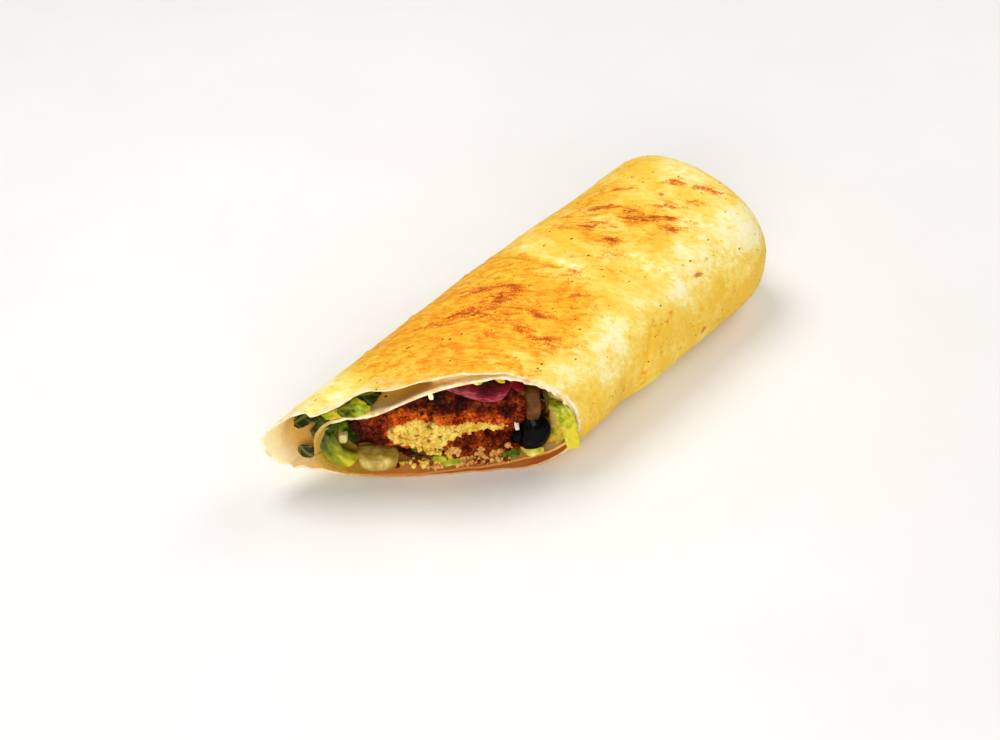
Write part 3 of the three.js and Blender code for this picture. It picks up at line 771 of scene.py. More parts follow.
def tortillaFields(angles, parts, rings, region):
    # where the dough is toasted, floury, darkened by painted shade or wet, for the material
    x, y = rings[..., 0], rings[..., 1]
    arc = np.broadcast_to(arcOf(angles), y.shape)
    onSkin, inMouth, inHollow = [(region == name)[:, None] for name in ("skin", "mouthEdge", "hollow")]
    onTop = np.sin(angles) > 0
    overTop = smooth(0.2 + 1.6 * np.sin(angles))
    farLeft = smooth((-14 - x) / 4)
    outwards = np.append(0, parts)[:, None] * gapDepth(angles)
    # the inner turn's outer face is pale and floury where it shows beyond the outer lip
    pale = np.where(inMouth, np.maximum(overTop, 0.12) * (1 - 0.85 * farLeft), 0)
    pale[region == "lipEdge"] = 1
    pale[region == "gapInner"] = smooth(1.25 - outwards[::-1] / sheet["floury"]) * overTop
    # flour lies in a band along the top of the lip, wider towards the left
    fromLip = y - lipY(angles, 0.0)
    reach = mix(6, 10, smooth((-8 - arc) / 12))
    floury = 0.6 * smooth(1 - fromLip / reach) * smooth((4 - arc) / 24) + 0.5 * smooth(1 - fromLip / 1.6)
    floury = floury * smooth(0.7 + softNoise(arc / 2.6, y / 2.6, 8.8)) * onSkin * onTop
    # painted shade: the inner turn's rim darker where it faces sideways or down, and each face of the gap
    # darker the deeper it lies
    shaded = np.where(inMouth, 0.5 * (1 - overTop), 0)
    shaded[region == "gapInner"] = smooth(outwards[::-1] / 12)
    shaded[region == "gapOuter"] = 0.9 * smooth(outwards / 9)
    within = ~np.isin(region, ["skin", "lipEdge"])[:, None] * 1.0
    toasts = {
        # creases painted darker gold as shade, and the fold beside each paler as a highlight
        "golden": patches(["golden", "pale"], arc, y) + 0.7 * creased(arc, y),
        "buttery": patches(["buttery"], arc, y),
        "browned": patches(["browned"], arc, y),
        "mark": patches(["marks"], arc, y),
    }
    values = {name: withEnds(np.where(onSkin, toast, 0)) for name, toast in toasts.items()}
    values["edge"] = withEnds(floury + pale)
    values["within"] = withEnds(np.broadcast_to(within, y.shape))
    values["shaded"] = withEnds(shaded)
    values["wetLeft"] = withEnds(inHollow * smooth((-6 - x) / 10) + inMouth * farLeft)
    return values


def makeTortilla():
    count = tortilla["around"]
    step = turn / (count - 2)
    plain = np.array([i * step - turn / 4 for i in range(count - 2)])
    angles = np.sort(np.concatenate([plain, [sheet["seamAngle"] - 0.012, sheet["seamAngle"]]]))
    parts = np.linspace(0, 1, 16)[1:] ** 1.3
    rings, region = tortillaRings(angles, parts)
    away = np.concatenate([[0], np.cumsum(np.linalg.norm(np.diff(rings.mean(1), axis=0), axis=1))])
    along = np.where(region == "skin", rings[..., 1].mean(1), -100 - away)
    newPiece("tortilla_sheet", ringPoints(rings), ringFaces(len(rings), count), tortillaSkinMaterial(),
             ["tortilla"], ringMap(len(rings), count, arcOf(angles), along),
             tortillaFields(angles, parts, rings, region))


makeTortilla()

print("falafel wrap: falafel")

# the broken front of each falafel lies on the cut. `crumb` lists where the pale crumb shows:
# place along the cut, height, reach along, reach up. `spilled` lists where loose crumbs lie: from
# and to along the cut, heights, depths, how many. `notch` and `hang` are height, middle and reach
falafelUpper = {
    "left": (-17.5, 19.5), "right": (21, 18), "top": (4, 29.5), "bottom": (-1, 8),
    "round": (2.1, 2.2, 1.9), "notch": (5.5, 12, 8), "dome": 7, "seed": 3, "yTo": 70,
    "grainSize": 1.75, "grainDepth": 1.15,
    "crumb": [(44, 15.4, 8.6, 5.6), (49.5, 9, 5, 7.5), (53, 13.2, 5, 5), (61.5, 16.3, 9.8, 2.2)],
    "hang": (3.6, 2.2, 3.2), "freshness": 1.0, "behind": 2.4, "loose": 900,
    "spilled": [
        (42, 52, 3.2, 4.6, 0.6, 3.4, 50), (38, 42, 3, 4, 1, 4, 12), (50, 58, 5, 8, 1.4, 3, 30),
    ],
}
falafelLower = {
    "left": (1.5, 7), "right": (18.5, 8), "top": (9, 15), "bottom": (9, 3.9),
    "round": (2.2, 2.2, 2.4), "notch": (0, 0, 1), "dome": 4, "seed": 11, "yTo": 60,
    "grainSize": 1.2, "grainDepth": 0.6,
    "crumb": [(55.5, 8.3, 2.2, 1.5), (63, 7.5, 1.5, 2.2), (68, 6.5, 2.4, 1.5), (59, 4.8, 3, 1.0)],
    "hang": (0, 0, 1), "freshness": 0.25, "behind": 1.5, "loose": 600,
    "spilled": [
        (56, 72, 3.0, 4.6, 0.2, 3, 110), (60, 73, 5, 9, 1.2, 2.6, 40), (46, 58, 2.9, 3.6, 0, 2, 30),
    ],
}
# what both share, in mm: crags on the broken front, the crust's grit and pits, and the radii of
# loose bits
fried = {
    "crag": 1.1, "grit": 0.85, "gritDepth": 0.62, "roughness": 0.7, "pits": 1.9, "pitDepth": 0.9,
    "crustBits": (0.22, 0.55), "crumbBits": (0.35, 0.8), "bitsFrom": 2.6,
}


def falafelMaterial(name, crumbShades):
    material, tree, shader, solid = newMaterial(
        name, Roughness=0.7, Specular_IOR_Level=0.06, Subsurface_Weight=0.1, Subsurface_Scale=0.0012)
    x, _y, z = addNode(tree, "SeparateXYZ", {0: solid}).outputs
    coarse = pattern(tree, solid, 240, 4)
    fine = pattern(tree, solid, 900, 5, roughness=0.7)
    both = plus(tree, times(tree, coarse, 0.5), times(tree, fine, 0.5))
    crust = ramp(tree, both, [(0.4, (24, 6, 3)), (0.47, (70, 17, 6)), (0.54, (128, 38, 9)),
                              (0.64, (190, 84, 24))])
    # painted shadow: the crust much darker at the top, under the tortilla's lip, and at its left end, deep
    # in the wrap
    crust = blend(tree, fade(tree, z, 0.019, 0.028, 0.0, 0.65), crust, (30, 8, 4))
    crust = blend(tree, fade(tree, x, -0.0165, -0.0115, 0.85), crust, (34, 12, 6))
    # freshly broken crust just above the crumb is brighter, orange to red
    fresh = ramp(tree, both, [(0.38, (92, 20, 5)), (0.47, (176, 52, 8)), (0.6, (238, 122, 30))])
    crust = blend(tree, field(tree, "fresh"), crust, fresh)
    crumb = ramp(tree, both, list(zip((0.34, 0.45, 0.58), crumbShades)))
    # painted shade: the crust and crumb darker in their pits and holes; loose bits get a random darker tone
    # instead
    sunk = field(tree, "sunk")
    crust = blend(tree, sunk, crust, (46, 14, 8))
    crumb = blend(tree, sunk, crumb, (130, 74, 18))
    oil = ramp(tree, pattern(tree, solid, 140, 3), [(0.4, 0.42), (0.6, 0.85)])
    tree.links.new(oil, shader.inputs["Roughness"])
    surface(tree, shader, blend(tree, field(tree, "crumb"), crust, crumb), fine, 0.6, 0.3)
    return material


def falafelRings(shape, around, sizes, deeps):
    # rings that grow over the broken front, then run back to the far end
    angle = -np.arange(around) * turn / around
    left, right, top, bottom = [shape[name] for name in ("left", "right", "top", "bottom")]
    ox, high = oval(angle, left, right, top, bottom, *shape["round"])
    midX, midZ = (left[0] + right[0]) / 2, (left[1] + right[1]) / 2
    halfX, halfZ = (right[0] - left[0]) / 2, (top[1] - bottom[1]) / 2
    under = np.clip((midZ - high) / 4, 0, 1)
    oz = high + under * hump(ox, shape["notch"])

    def face(x, z, size):
        above = np.clip((z - midZ) / (top[1] - midZ), 0, 1)
        rough = fried["crag"] * 1.4 * softNoise(x * 0.3, z * 0.3, shape["seed"])
        return yCut(x) + shape["behind"] + shape["dome"] * above**2 + 2.5 * size**4 + rough

    def ring(size, deep):
        y0 = mix(face(ox, oz, size), shape["yTo"], deep)
        lump = fried["crag"] * softNoise(ox * 0.3, oz * 0.3, shape["seed"] + y0 * 0.09)
        reach = size * (1 + lump / math.hypot(halfX, halfZ))
        # a broken piece of crumb hangs down at the front
        low = oz - under * hump(ox, shape["hang"]) * smooth(1 - 9 * deep)
        x, z = midX + (ox - midX) * reach, midZ + (low - midZ) * reach
        return np.stack([x, mix(face(x, z, size), shape["yTo"], deep), z], -1)

    grown = [ring(size, 0) for size in sizes]
    return np.stack(grown + [ring(1, deep) for deep in deeps] + [ring(0.7, 1)])


def crumbField(shape, points):
    # how far inside the pale crumb points lie, and the freshly broken crust above it
    along, deep = cutPlace(points)
    z = points[..., 2]
    ragged = 0.5 * roughNoise(along / 3.4, z / 3.4, shape["seed"], 3)
    inside = np.full(along.shape, -9.0)
    above = np.full(along.shape, -9.0)
    for s, height, reachS, reachZ in shape["crumb"]:
        off, up = along - s, z - height
        inside = np.maximum(inside, 1 - (off / reachS) ** 2 - (up / reachZ) ** 2)
        above = np.maximum(above, 1 - (off / (reachS + 3)) ** 2 - ((up - 1.4) / (reachZ + 2.6)) ** 2)
    front = smooth((11 - deep) / 3)
    crumb = smooth((inside + ragged) / 0.16) * front
    return crumb, shape["freshness"] * smooth((above + 0.8 * ragged) / 0.6) * front


def lumpMesh(places, radii, seed):
    # small irregular lumps: points, faces, and which lump each point is of
    squash, dented = 0.4, 0.45
    ball = bpy.data.meshes.new("lump")
    shape = bmesh.new()
    bmesh.ops.create_icosphere(shape, subdivisions=2, radius=1)
    shape.to_mesh(ball)
    shape.free()
    base = np.array([v.co for v in ball.vertices])
    sides = np.array([list(f.vertices) for f in ball.polygons])
    bpy.data.meshes.remove(ball)
    draw = np.random.default_rng(seed)
    count = len(places)
    stretch = 1 + squash * draw.uniform(-1, 1, (count, 1, 3))
    spin = np.linalg.qr(draw.normal(size=(count, 3, 3)))[0]
    shift = draw.uniform(0, 50, (count, 1, 3))
    rough = 1 + dented * softNoise(*np.moveaxis(base[None] * 1.7 + shift, -1, 0))
    body = (base[None] * rough[..., None] * stretch) @ spin
    points = places[:, None] + body * np.asarray(radii)[:, None, None]
    faces = sides[None] + (np.arange(count) * len(base))[:, None, None]
    # a mirrored spin would turn a lump inside out
    flip = np.linalg.det(spin) < 0
    faces[flip] = faces[flip][:, :, ::-1]
    return points.reshape(-1, 3), faces.reshape(-1, 3), np.repeat(np.arange(count), len(base))


def roughened(shape, rings, crumb, frontRows):
    # knobs on the crumb, a fried crust with small holes elsewhere, less of both towards the back:
    # the rings, how deep each point is sunk, which the material paints as shade, and the holes
    points = np.moveaxis(rings, -1, 0)
    near = grains(*points / shape["grainSize"])
    small = grains(*points / fried["grit"])
    x, y, z = points / fried["pits"]
    knobs = shape["grainDepth"] * (0.62 - near) * 1.5 + 0.5 * roughNoise(*points / 2.6, 2) - 0.1
    crust = fried["gritDepth"] * (0.6 - small) + fried["roughness"] * roughNoise(x, y, z, 3)
    holes = smooth((softNoise(x, y, z + 40) - 0.45) / 0.2)
    rise = mix(crust, knobs, crumb) - fried["pitDepth"] * holes
    back = np.linspace(1, 0.35, len(rings) - frontRows - 1)
    front = np.concatenate([np.ones(frontRows), back, [0.2]])[:, None]
    pits = mix(smooth((small - 0.6) / 0.3), smooth((near - 0.6) / 0.3), crumb)
    raised = facing(rings, frontRows + 1) * (rise * front)[..., None]
    return rings + raised, np.clip(0.75 * holes + pits, 0, 1), holes


def makeFalafel(name, shape, around, crumbShades, node):
    sizes = np.concatenate([np.linspace(0.02, 0.9, 74), np.linspace(0.9, 1, 16)[1:]])
    deeps = np.concatenate([np.linspace(0.004, 0.16, 28), np.linspace(0.2, 1, 16)])
    rings = falafelRings(shape, around, sizes, deeps)
    crumb, fresh = crumbField(shape, rings)
    rings, sunk, holes = roughened(shape, rings, crumb, len(sizes))
    # loose bits, fewer on the crumb than on the crust
    draw = np.random.default_rng(shape["seed"])
    rows = draw.integers(6, len(sizes) + 8, shape["loose"])
    columns = draw.integers(0, around, shape["loose"])
    keep = (rings[rows, columns, 2] > fried["bitsFrom"]) & (holes[rows, columns] < 0.5)
    rows, columns = rows[keep], columns[keep]
    keep = draw.uniform(0, 1, len(rows)) > 0.45 * crumb[rows, columns]
    rows, columns = rows[keep], columns[keep]
    spots, isCrumb, isFresh = rings[rows, columns], crumb[rows, columns], fresh[rows, columns]
    crustRadii, crumbRadii = [draw.uniform(*fried[kind], len(spots)) for kind in ("crustBits", "crumbBits")]
    radii = mix(crustRadii, crumbRadii, isCrumb)
    for s0, s1, z0, z1, d0, d1, count in shape["spilled"]:
        along, high, deep = [draw.uniform(*span, count) for span in ((s0, s1), (z0, z1), (d0, d1))]
        spots = np.vstack([spots, onCut(along, high, deep)])
        isCrumb = np.append(isCrumb, draw.uniform(0.1, 1, count) > 0.3)
        isFresh = np.append(isFresh, draw.uniform(0, 0.8, count))
        radii = np.append(radii, draw.uniform(0.25, 1, count) ** 1.6 * 0.95)
    lumps, lumpFaces, owner = lumpMesh(spots, radii, shape["seed"] + 1)
    isSunk = draw.uniform(0, 0.6, len(spots)) * (1 - 0.7 * isCrumb)
    body = ringPoints(rings)
    values = {
        "crumb": np.concatenate([withEnds(crumb), isCrumb[owner]]),
        "fresh": np.concatenate([withEnds(fresh), isFresh[owner]]),
        "sunk": np.concatenate([withEnds(sunk), isSunk[owner]]),
    }
    faces = ringFaces(len(rings), around) + (lumpFaces + len(body)).tolist()
    newPiece(name, np.vstack([body, lumps]), faces, falafelMaterial(name + "_crust", crumbShades),
             [node], values=values)


makeFalafel("falafel_broken", falafelUpper, 300,
            ((166, 106, 28), (226, 182, 68), (249, 220, 112)), "falafel_upper")
makeFalafel("falafel_below", falafelLower, 200,
            ((138, 72, 26), (204, 138, 62), (234, 184, 106)), "falafel_lower")

print("falafel wrap: vegetables")


def curveThrough(points, count):
    # an even-handed smooth curve through given points
    p = np.asarray(points, float)
    p = np.vstack([2 * p[0] - p[1], p, 2 * p[-1] - p[-2]])
    gaps = np.maximum(np.linalg.norm(np.diff(p, axis=0), axis=1) ** 0.5, 1e-4)
    made = []
    for t in np.linspace(0, len(p) - 3, count):
        i = min(int(t), len(p) - 4)
        w = t - i
        a, b, c, d = p[i:i + 4]
        g0, g1, g2 = gaps[i:i + 3]
        leave = ((b - a) / g0 - (c - a) / (g0 + g1) + (c - b) / g1) * g1
        arrive = ((c - b) / g1 - (d - b) / (g1 + g2) + (d - c) / g2) * g1
        made.append(b + leave * w + (3 * (c - b) - 2 * leave - arrive) * w**2
                    + (2 * (b - c) + leave + arrive) * w**3)
    return np.array(made)


def veinsAt(u, along, apart, seed):
    # a leaf's midrib, and side veins that branch off it
    bent = (along - 0.8 * np.abs(u) + 0.5 * softNoise(along / 3, u / 3, seed)) / apart
    branch = smooth(1 - np.abs(bent - np.round(bent)) * apart / 0.3) * smooth(np.abs(u) / 0.6)
    return np.maximum(bump(u, 0, 0.35), 0.7 * branch)


def strip(shape):
    # an oval section swept along a curve: rings, and each point's place across and along in mm,
    # its leaf veins and its tone
    def asked(name, usual=0):
        return shape.get(name, usual)

    steps, facets, seed = asked("steps", 60), asked("facets", 40), asked("seed", 1)
    path = curveThrough([onCut(*place) for place in shape["path"]], steps)
    wide = np.asarray(shape["across"], float)
    wide = wide / np.linalg.norm(wide)
    tangent = np.gradient(path, axis=0)
    tangent = tangent / np.linalg.norm(tangent, axis=1, keepdims=True)
    flat = np.cross(tangent, wide)
    flat = (flat / np.linalg.norm(flat, axis=1, keepdims=True))[:, None]
    along = np.concatenate([[0], np.cumsum(np.linalg.norm(np.diff(path, axis=0), axis=1))])[:, None]
    t = np.linspace(0, 1, steps)[:, None]
    full = mix(asked("ends", 0.35), 1, np.sin(math.pi * np.clip(t, 0.02, 0.98)) ** asked("taper", 0.55))
    angle = np.arange(facets)[None] * turn / facets
    corner = asked("corner", 0.75)
    half = shape["width"] / 2
    side = np.sign(np.cos(angle))
    u = power(np.cos(angle), corner) * half * full
    u = u * (1 + asked("lobes") * softNoise(along / 3, seed + 3, side)
             + asked("torn") * roughNoise(along / 1.5 + 9 * side, seed, 0.5, 3))
    v = power(np.sin(angle), corner) * shape["thick"] / 2 * np.sqrt(full)
    rim = np.abs(u) / half
    vein = veinsAt(u, along, shape["veined"], seed) if "veined" in shape else np.zeros(u.shape)
    px, py = path[:, None, 0], path[:, None, 1]
    ripple = asked("wave") * softNoise(px * 0.35 + u * 0.4, py * 0.35, seed)
    ripple = ripple + asked("frill") * rim**2 * softNoise(along / 1.7, u / 3, seed + 0.5)
    ripple = ripple + asked("cup") * (rim**2 - 0.3)
    ripple = ripple + asked("pucker") * (softNoise(along / 1.2, u / 1.2, seed + 4.5) - 0.8 * vein)
    lump = asked("lumpy") * roughNoise(along / 3, np.cos(angle) * half / 3, np.sin(angle) + seed, 2)
    rings = path[:, None] + u[..., None] * wide + ((v + ripple) + lump * np.sin(angle))[..., None] * flat
    tones = asked("tone", 0.5)
    first, last = tones if isinstance(tones, tuple) else (tones, tones)
    tone = mix(first, last, along / along[-1]) + 0 * u
    return rings, np.broadcast_to(u, rings.shape[:2]), np.broadcast_to(along, rings.shape[:2]), vein, tone


def makeStrip(name, shapes, material, nodes):
    # one piece from one or more strips, with map coordinates, veins and tones
    points, faces, maps, veins, tones = [], [], [], [], []
    first = 0
    for number, shape in enumerate(shapes):
        rings, u, along, vein, tone = strip(shape)
        rows, around = rings.shape[:2]
        points.append(ringPoints(rings))
        faces += ringFaces(rows, around, first)
        maps.append(np.stack([withEnds(u), withEnds(along) + 60 * number], -1))
        veins.append(withEnds(vein))
        tones.append(withEnds(tone))
        first += len(points[-1])
    maps = np.vstack(maps)
    corners = np.concatenate([np.asarray(face) for face in faces])
    newPiece(name, np.vstack(points), faces, material, nodes, maps[corners],
             {"tone": np.concatenate(tones), "vein": np.concatenate(veins)})


def moistMaterial(name, shades, gloss=0.25, soft=0.25, grainScale=1.2, stretch=(0.3, 3, 1),
                  bumpHeight=0.15, coat=0.2, blotch=0.25, toned=0.0, veins=None):
    # wet plant flesh: shades drift with its grain and, where `toned`, with each strip's own tone
    material, tree, shader, solid = newMaterial(
        name, Roughness=gloss, Subsurface_Weight=soft, Subsurface_Scale=0.0018, Coat_Weight=coat,
        Coat_Roughness=0.04, Specular_IOR_Level=0.05)
    grain = pattern(tree, unrolledMap(tree), grainScale, 4, stretch)
    amount = plus(tree, times(tree, grain, 1 - blotch), times(tree, pattern(tree, solid, 190, 3), blotch))
    if toned:
        amount = plus(tree, amount, swing(tree, field(tree, "tone"), toned))
    gap = 0.36 / (len(shades) - 1)
    shade = ramp(tree, amount, [(0.32 + gap * i, shade) for i, shade in enumerate(shades)])
    if veins:
        shade = blend(tree, times(tree, field(tree, "vein"), 0.3), shade, veins)
    surface(tree, shader, shade, grain, 0.5, bumpHeight)
    return material


def onionMaterial():
    # a wedge of red onion: pale along its near edge, magenta, then wine dark at the back, its own dark
    # colour deepened there by painted shade under the tortilla's lip
    material, tree, shader, solid = newMaterial(
        "redOnionFlesh", Roughness=0.26, Subsurface_Weight=0.2, Subsurface_Scale=0.0015, Coat_Weight=0.12,
        Coat_Roughness=0.06, Specular_IOR_Level=0.05)
    where = unrolledMap(tree)
    lines = pattern(tree, where, 1.1, 4, (0.3, 5, 1), 0, 0.6)
    across = addNode(tree, "SeparateXYZ", {0: where}).outputs[0]
    # painted shade with the onion's own colour: darker towards the back of the wedge
    depth = fade(tree, across, -4.2, 3.4, 0.0, 1.0)
    amount = swings(tree, depth, (lines, 1.1), (pattern(tree, solid, 160, 3), 0.9))
    shade = ramp(tree, amount, [(0.0, (176, 68, 80)), (0.12, (136, 34, 46)), (0.32, (96, 16, 26)),
                                (0.6, (58, 8, 15)), (1.0, (30, 4, 8))])
    surface(tree, shader, shade, lines, 0.4, 0.12)
    return material


# each place on a path is along the cut from its sharp tip, height, and depth behind the cut
makeStrip("red_onion_layers", [
    {"path": [(50.5, 32.8, 5.4), (58, 31.8, 4.9), (64.5, 30, 4.4), (69.5, 29.2, 4.4), (73, 29.8, 5)],
     "width": 9.4, "thick": 2.8, "across": inwards + 0.85 * upwards, "ends": 0.06, "taper": 0.48,
     "wave": 0.2, "corner": 0.8, "steps": 80, "seed": 2},
], onionMaterial(), ["red_onion_slice"])
makeStrip("red_onion_chip", [
    {"path": [(72.5, 31.6, 4.5), (75, 30.8, 4), (77, 28.6, 4.5)], "width": 8, "thick": 2,
     "across": inwards, "steps": 30, "wave": 0.2},
], moistMaterial("redOnionSkin", [(50, 6, 12), (112, 14, 24), (170, 30, 44)], 0.2, 0.2, coat=0.12),
    ["red_onion_bit"])
makeStrip("olive_slice", [
    {"path": [(77.6, 8, 3.6), (79.4, 10.4, 2.8), (80.2, 14.6, 2.6), (79.6, 18.4, 3.6)],
     "width": 9.2, "thick": 7, "across": sideways, "ends": 0.5, "taper": 0.6, "corner": 0.7,
     "lumpy": 1.1, "seed": 5},
    {"path": [(73.6, 9.4, 4.8), (75.6, 10.6, 3.8), (78, 13.6, 3.4)],
     "width": 5.4, "thick": 5, "across": sideways - upwards, "ends": 0.4, "lumpy": 0.6, "steps": 40,
     "seed": 8},
], moistMaterial("blackOlive", [(2, 2, 2), (5, 4, 5), (16, 9, 7)], 0.16, 0.0, 0.5, (1, 1, 1), 0.12, 0.04),
    ["black_olive"])
makeStrip("pickle_wedge", [
    {"path": [(79.2, 19.8, 3.4), (79.3, 24, 2.6), (79, 29.4, 3)],
     "width": 4.6, "thick": 7, "across": sideways, "steps": 50, "corner": 0.42, "ends": 0.9, "lumpy": 0.1},
], moistMaterial("pickleFlesh", [(50, 25, 4), (90, 50, 11), (132, 86, 28)], 0.1, 0.4, 0.35, (1, 1, 1),
                 0.08, 0.25, 0.7), ["pickle_slice"])
makeStrip("pickle_skin", [
    {"path": [(83, 21.6, 3.6), (83.2, 25, 3.4), (82.4, 28.6, 4)],
     "width": 9, "thick": 1.2, "across": inwards, "steps": 40, "wave": 0.15, "ends": 0.7},
], moistMaterial("picklePeel", [(40, 28, 4), (76, 56, 10), (116, 88, 22)], 0.2, 0.2, coat=0.15),
    ["pickle_peel"])
makeStrip("cabbage", [
    {"path": [(83, 31.4, 6), (85.6, 26, 5.4), (86.4, 18, 5), (85.6, 11, 5), (83, 5.4, 5.6)],
     "width": 11, "thick": 1.0, "across": inwards - 0.8 * sideways, "ends": 0.7, "wave": 0.4,
     "frill": 0.4, "steps": 110, "veined": 3.4, "pucker": 0.3, "tone": (0.95, 0.2)},
], moistMaterial("cabbageLeaf", [(168, 138, 20), (216, 167, 42), (246, 204, 84), (254, 229, 130)], 0.3,
                 0.4, 0.8, (1, 2.5, 1), 0.2, 0.15, toned=0.3, veins=(253, 236, 168)),
    ["cabbage_leaf"])
makeStrip("pepper_strip_cut", [
    {"path": [(15.4, 21, 3), (17.4, 15.6, 2), (20.4, 9.8, 1.5), (25, 6.3, 2)],
     "width": 6.4, "thick": 3, "across": sideways + 0.75 * upwards + 0.25 * inwards, "corner": 0.62,
     "ends": 0.85, "lumpy": 0.35, "cup": -0.5, "wave": 0.5, "steps": 90, "tone": (0.0, 1.0)},
], moistMaterial("greenPepper", [(32, 42, 2), (86, 96, 4), (142, 140, 9), (208, 192, 42)], 0.08, 0.35,
                 0.22, (0.8, 2, 1), 0.14, 0.4, 0.1, toned=0.34), ["pepper_strip"])
makeStrip("cucumber_chunk", [
    {"path": [(27, 6.2, 3), (30.6, 6.8, 2.2), (34.6, 6.6, 2.2), (38, 5.4, 3)],
     "width": 8.4, "thick": 5.6, "across": inwards, "lumpy": 0.55, "corner": 0.6, "ends": 0.6, "steps": 80,
     "facets": 60},
], moistMaterial("cucumberFlesh", [(110, 86, 18), (152, 124, 38), (190, 158, 66), (228, 206, 126)], 0.05,
                 0.45, 0.3, (1, 1, 1), 0.22, 0.6, 0.6), ["cucumber_slice"])
makeStrip("white_onion_left", [
    {"path": [(22.9, 14.6, 7), (22.8, 15, 4.5), (22.6, 15.2, 2)], "width": 3, "thick": 3.2,
     "across": sideways, "steps": 30, "ends": 0.7, "corner": 0.6, "lumpy": 0.3},
    {"path": [(19, 19.6, 6), (19, 20, 4), (19, 20.3, 2.4)], "width": 1.7, "thick": 1.6,
     "across": sideways, "steps": 20, "ends": 0.6, "corner": 0.7, "seed": 6},
], moistMaterial("whiteOnion", [(180, 156, 84), (220, 198, 126), (244, 228, 176)], 0.2, 0.4),
    ["onion_bit_left"])
makeStrip("white_onion_right", [
    {"path": [(73.4, 17.4, 6), (74, 17, 3.6), (74.4, 15.4, 0.6)], "width": 1.6, "thick": 2.0,
     "across": sideways, "steps": 30, "ends": 0.7, "corner": 0.6},
], moistMaterial("whiteOnionShred", [(220, 210, 180), (246, 240, 222)], 0.2, 0.4),
    ["onion_bit_right"])

# every scrap of lettuce takes its shade from its own tone, 0 dark to 1 pale
lettuceLeaf = moistMaterial(
    "lettuceLeaf", [(28, 36, 3), (58, 70, 6), (104, 124, 9), (164, 170, 14), (218, 198, 40)], 0.27, 0.3,
    0.7, (1, 1.6, 1), 0.15, 0.35, 0.4, toned=0.5, veins=(196, 200, 80))
leaf = {
    "wave": 0.35, "frill": 0.3, "lobes": 0.3, "torn": 0.2, "pucker": 0.12, "veined": 3.2, "facets": 48,
}
makeStrip("lettuce_strip", [
    dict(leaf, path=[(83.6, 23.6, 4), (86.8, 24, -0.6), (88.6, 21.4, -1.8), (90.2, 15, -2.4),
                     (90.8, 8.6, -2)],
         width=5.2, thick=0.8, across=sideways, ends=0.62, lobes=0.12, torn=0.1, steps=100, cup=0.5,
         tone=(0.5, 1.0)),
], lettuceLeaf, ["lettuce_over_rim"])
makeStrip("leaf_tip", [
    dict(leaf, path=[(8.8, 23.6, 1.2), (12.4, 25.6, 1.4), (17, 26.4, 2.2), (21, 26, 3.4)],
         width=8, thick=0.7, across=upwards + 1.6 * inwards, ends=0.1, steps=90, tone=(0.02, 0.4)),
    dict(leaf, path=[(16, 25.8, 1.6), (20, 26.2, 0.6), (25, 26.6, 0.4)],
         width=3.4, thick=0.8, across=upwards + 1.4 * inwards, ends=0.3, steps=70, tone=(0.6, 0.95),
         seed=9),
], lettuceLeaf, ["leaf_at_tip"])
makeStrip("leaf_bottom", [
    dict(leaf, path=[(9.8, 13.4, 2.2), (11.6, 11.6, 1.4), (13.6, 9.8, 1.6)],
         width=4.6, thick=0.7, across=sideways + 0.8 * upwards, ends=0.2, steps=70, tone=(0.25, 0.02)),
], lettuceLeaf, ["leaf_low"])
makeStrip("leaf_in_gap", [
    dict(leaf, path=[(22.6, 30, 4), (27, 30.6, 3.4), (31.4, 30.4, 4), (35, 30.8, 6)],
         width=8, thick=0.7, across=inwards + 0.35 * upwards, steps=90, tone=(0.05, 0.2)),
], lettuceLeaf, ["leaf_between_turns"])
makeStrip("leaf_light", [
    dict(leaf, path=[(21.8, 27.6, 1.2), (25.4, 28.6, 0.2), (28.4, 28.6, -0.4), (31.2, 27.4, 0)],
         width=6.4, thick=0.8, across=upwards + 1.2 * inwards, ends=0.5, corner=0.6, lobes=0.15, steps=90,
         tone=(0.32, 0.8)),
], lettuceLeaf, ["leaf_wedge"])

print("falafel wrap: salad")
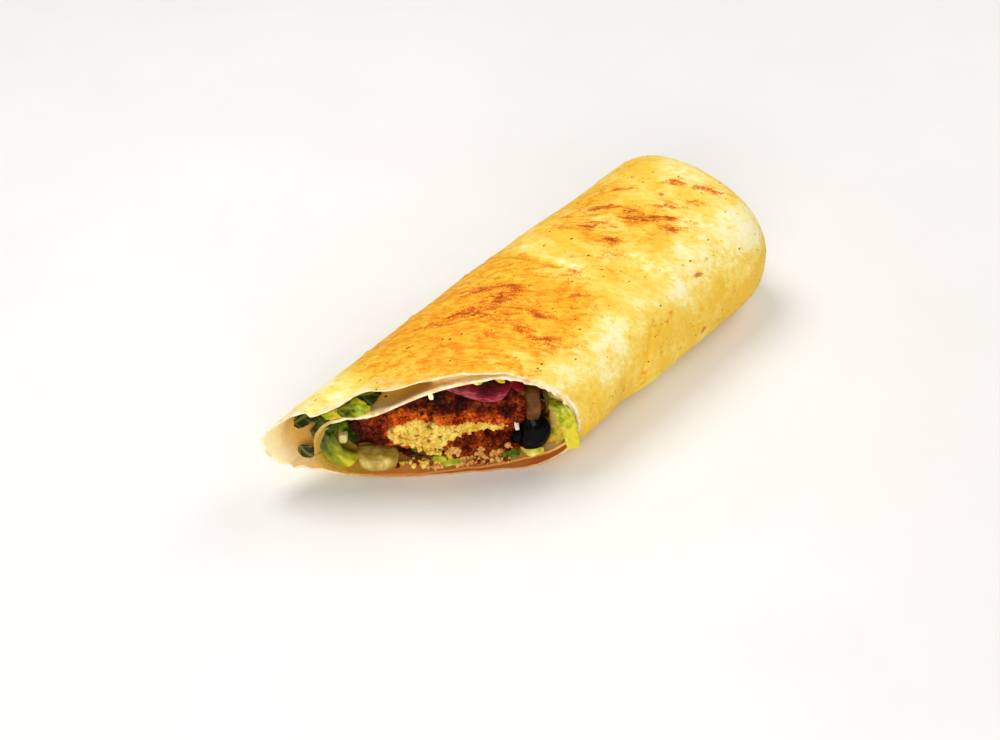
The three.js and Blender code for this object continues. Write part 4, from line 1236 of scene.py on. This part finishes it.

# shreds that stick out of the heap: path, width, tone. The last few are dark ones that fill its left,
# partly dark leaf and partly painted shade in that recess
salad = {
    "shreds": [
        ([(39, 5.6, 12), (42, 5.4, 7), (44, 5.2, 5)], 3, 0.1),
        ([(49, 4.8, 2.4), (53, 4.4, 1.2), (58, 4.6, 1.4)], 3, 0.6),
        ([(68, 5.8, 3), (71.2, 5.6, 1.6), (75, 5.4, 1.4)], 3.2, 0.3),
        ([(75.4, 6.4, 3), (78.4, 5.8, 1.2), (82.4, 6.2, 1)], 3, 0.85),
        ([(17, 22, 12), (19, 22.6, 5), (23, 22.8, 4.4)], 2.6, 0.1),
        ([(24, 12, 12), (26, 14, 5), (27, 17.6, 4.6)], 2.6, 0.3),
        ([(62, 33.4, 12), (64, 34, 5), (70, 33.4, 3.4)], 2.8, 1.0),
        ([(76, 22, 12), (76.4, 24, 6), (76.6, 28, 6)], 2.4, 0.1),
        ([(83, 7, 12), (84.6, 8, 5), (85.8, 12, 4.4)], 3.4, 0.6),
        ([(48.6, 31.6, 1.6), (49.2, 30.6, 0.9), (49.5, 29.4, 0.6)], 1.9, 1.7),
        ([(60.6, 34.6, 3), (62.4, 34.4, 2), (64.4, 34, 1.8)], 2.2, 0.9),
        ([(68, 34.2, 3), (69.6, 33.8, 2.2), (71, 33.2, 2)], 2, 0.75),
        ([(88.6, 24.4, 2), (89, 23.4, 1), (89.2, 22.2, 0.6)], 2.2, 1.7),
        # partly dark leaf, partly painted shade of the recess left of the falafel
        ([(16.8, 22.6, 2.6), (18.2, 20.4, 2.6), (20, 17.6, 3.4)], 4.6, 0.0),
        ([(20, 24, 4), (23, 22, 4.4), (24.4, 19, 5)], 4.4, 0.0),
        ([(15.2, 22, 1.4), (18, 23.6, 2), (21.5, 23.8, 3), (25, 22.8, 4)], 5, 0.0),
        ([(17.5, 20, 2.4), (20.5, 20.6, 3.2), (24, 19.6, 4.2)], 4.4, 0.0),
        ([(22, 17, 5), (24.5, 15.5, 4.6), (27.5, 14, 4.6)], 5, 0.05),
    ],
}


def saladMaterial():
    material, tree, shader, solid = newMaterial(
        "saladShreds", Roughness=0.34, Subsurface_Weight=0.2, Subsurface_Scale=0.0015, Coat_Weight=0.03,
        Coat_Roughness=0.05, Specular_IOR_Level=0.04)
    patches = pattern(tree, solid, 210, 4)
    shreds = ramp(tree, swings(tree, patches, (field(tree, "tone"), 0.42)),
                  [(0.3, (34, 52, 6)), (0.45, (90, 116, 16)), (0.6, (172, 174, 36)),
                   (0.75, (230, 206, 76)), (0.92, (250, 240, 206))])
    # painted shadow: the heap's core is dark maroon brown, for the shade deep between the falafel and the
    # tortilla
    depths = ramp(tree, patches, [(0.35, (40, 11, 5)), (0.5, (70, 23, 9)), (0.7, (98, 48, 15))])
    surface(tree, shader, blend(tree, field(tree, "shred"), depths, shreds), patches, 0.5, 0.3)
    return material


def makeSalad():
    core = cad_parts["salad"].data
    points = [np.array([v.co for v in core.vertices]) / mm]
    faces = [list(f.vertices) for f in core.polygons]
    tones = [np.zeros(len(points[0]))]
    first = len(points[0])
    for number, (path, width, tone) in enumerate(salad["shreds"]):
        # a shred that runs into the food stands up a little, the others lie flat
        run = onCut(*path[-1]) - onCut(*path[0])
        inDepth = abs(np.dot(run, inwards)) > abs(np.dot(run, sideways))
        across = sideways + 0.4 * float(hashOf(number, 2, 1)) * upwards if inDepth else upwards + inwards
        rings = strip(dict(leaf, path=path, width=width, thick=0.9, steps=60, facets=28,
                           seed=number + 20, across=across))[0]
        points.append(ringPoints(rings))
        faces += ringFaces(len(rings), rings.shape[1], first)
        tones.append(np.full(len(points[-1]), tone))
        first += len(points[-1])
    shred = np.arange(first) >= len(points[0])
    newPiece("salad_heap", np.vstack(points), faces, saladMaterial(), ["salad"],
             values={"shred": shred, "tone": np.concatenate(tones)})


makeSalad()
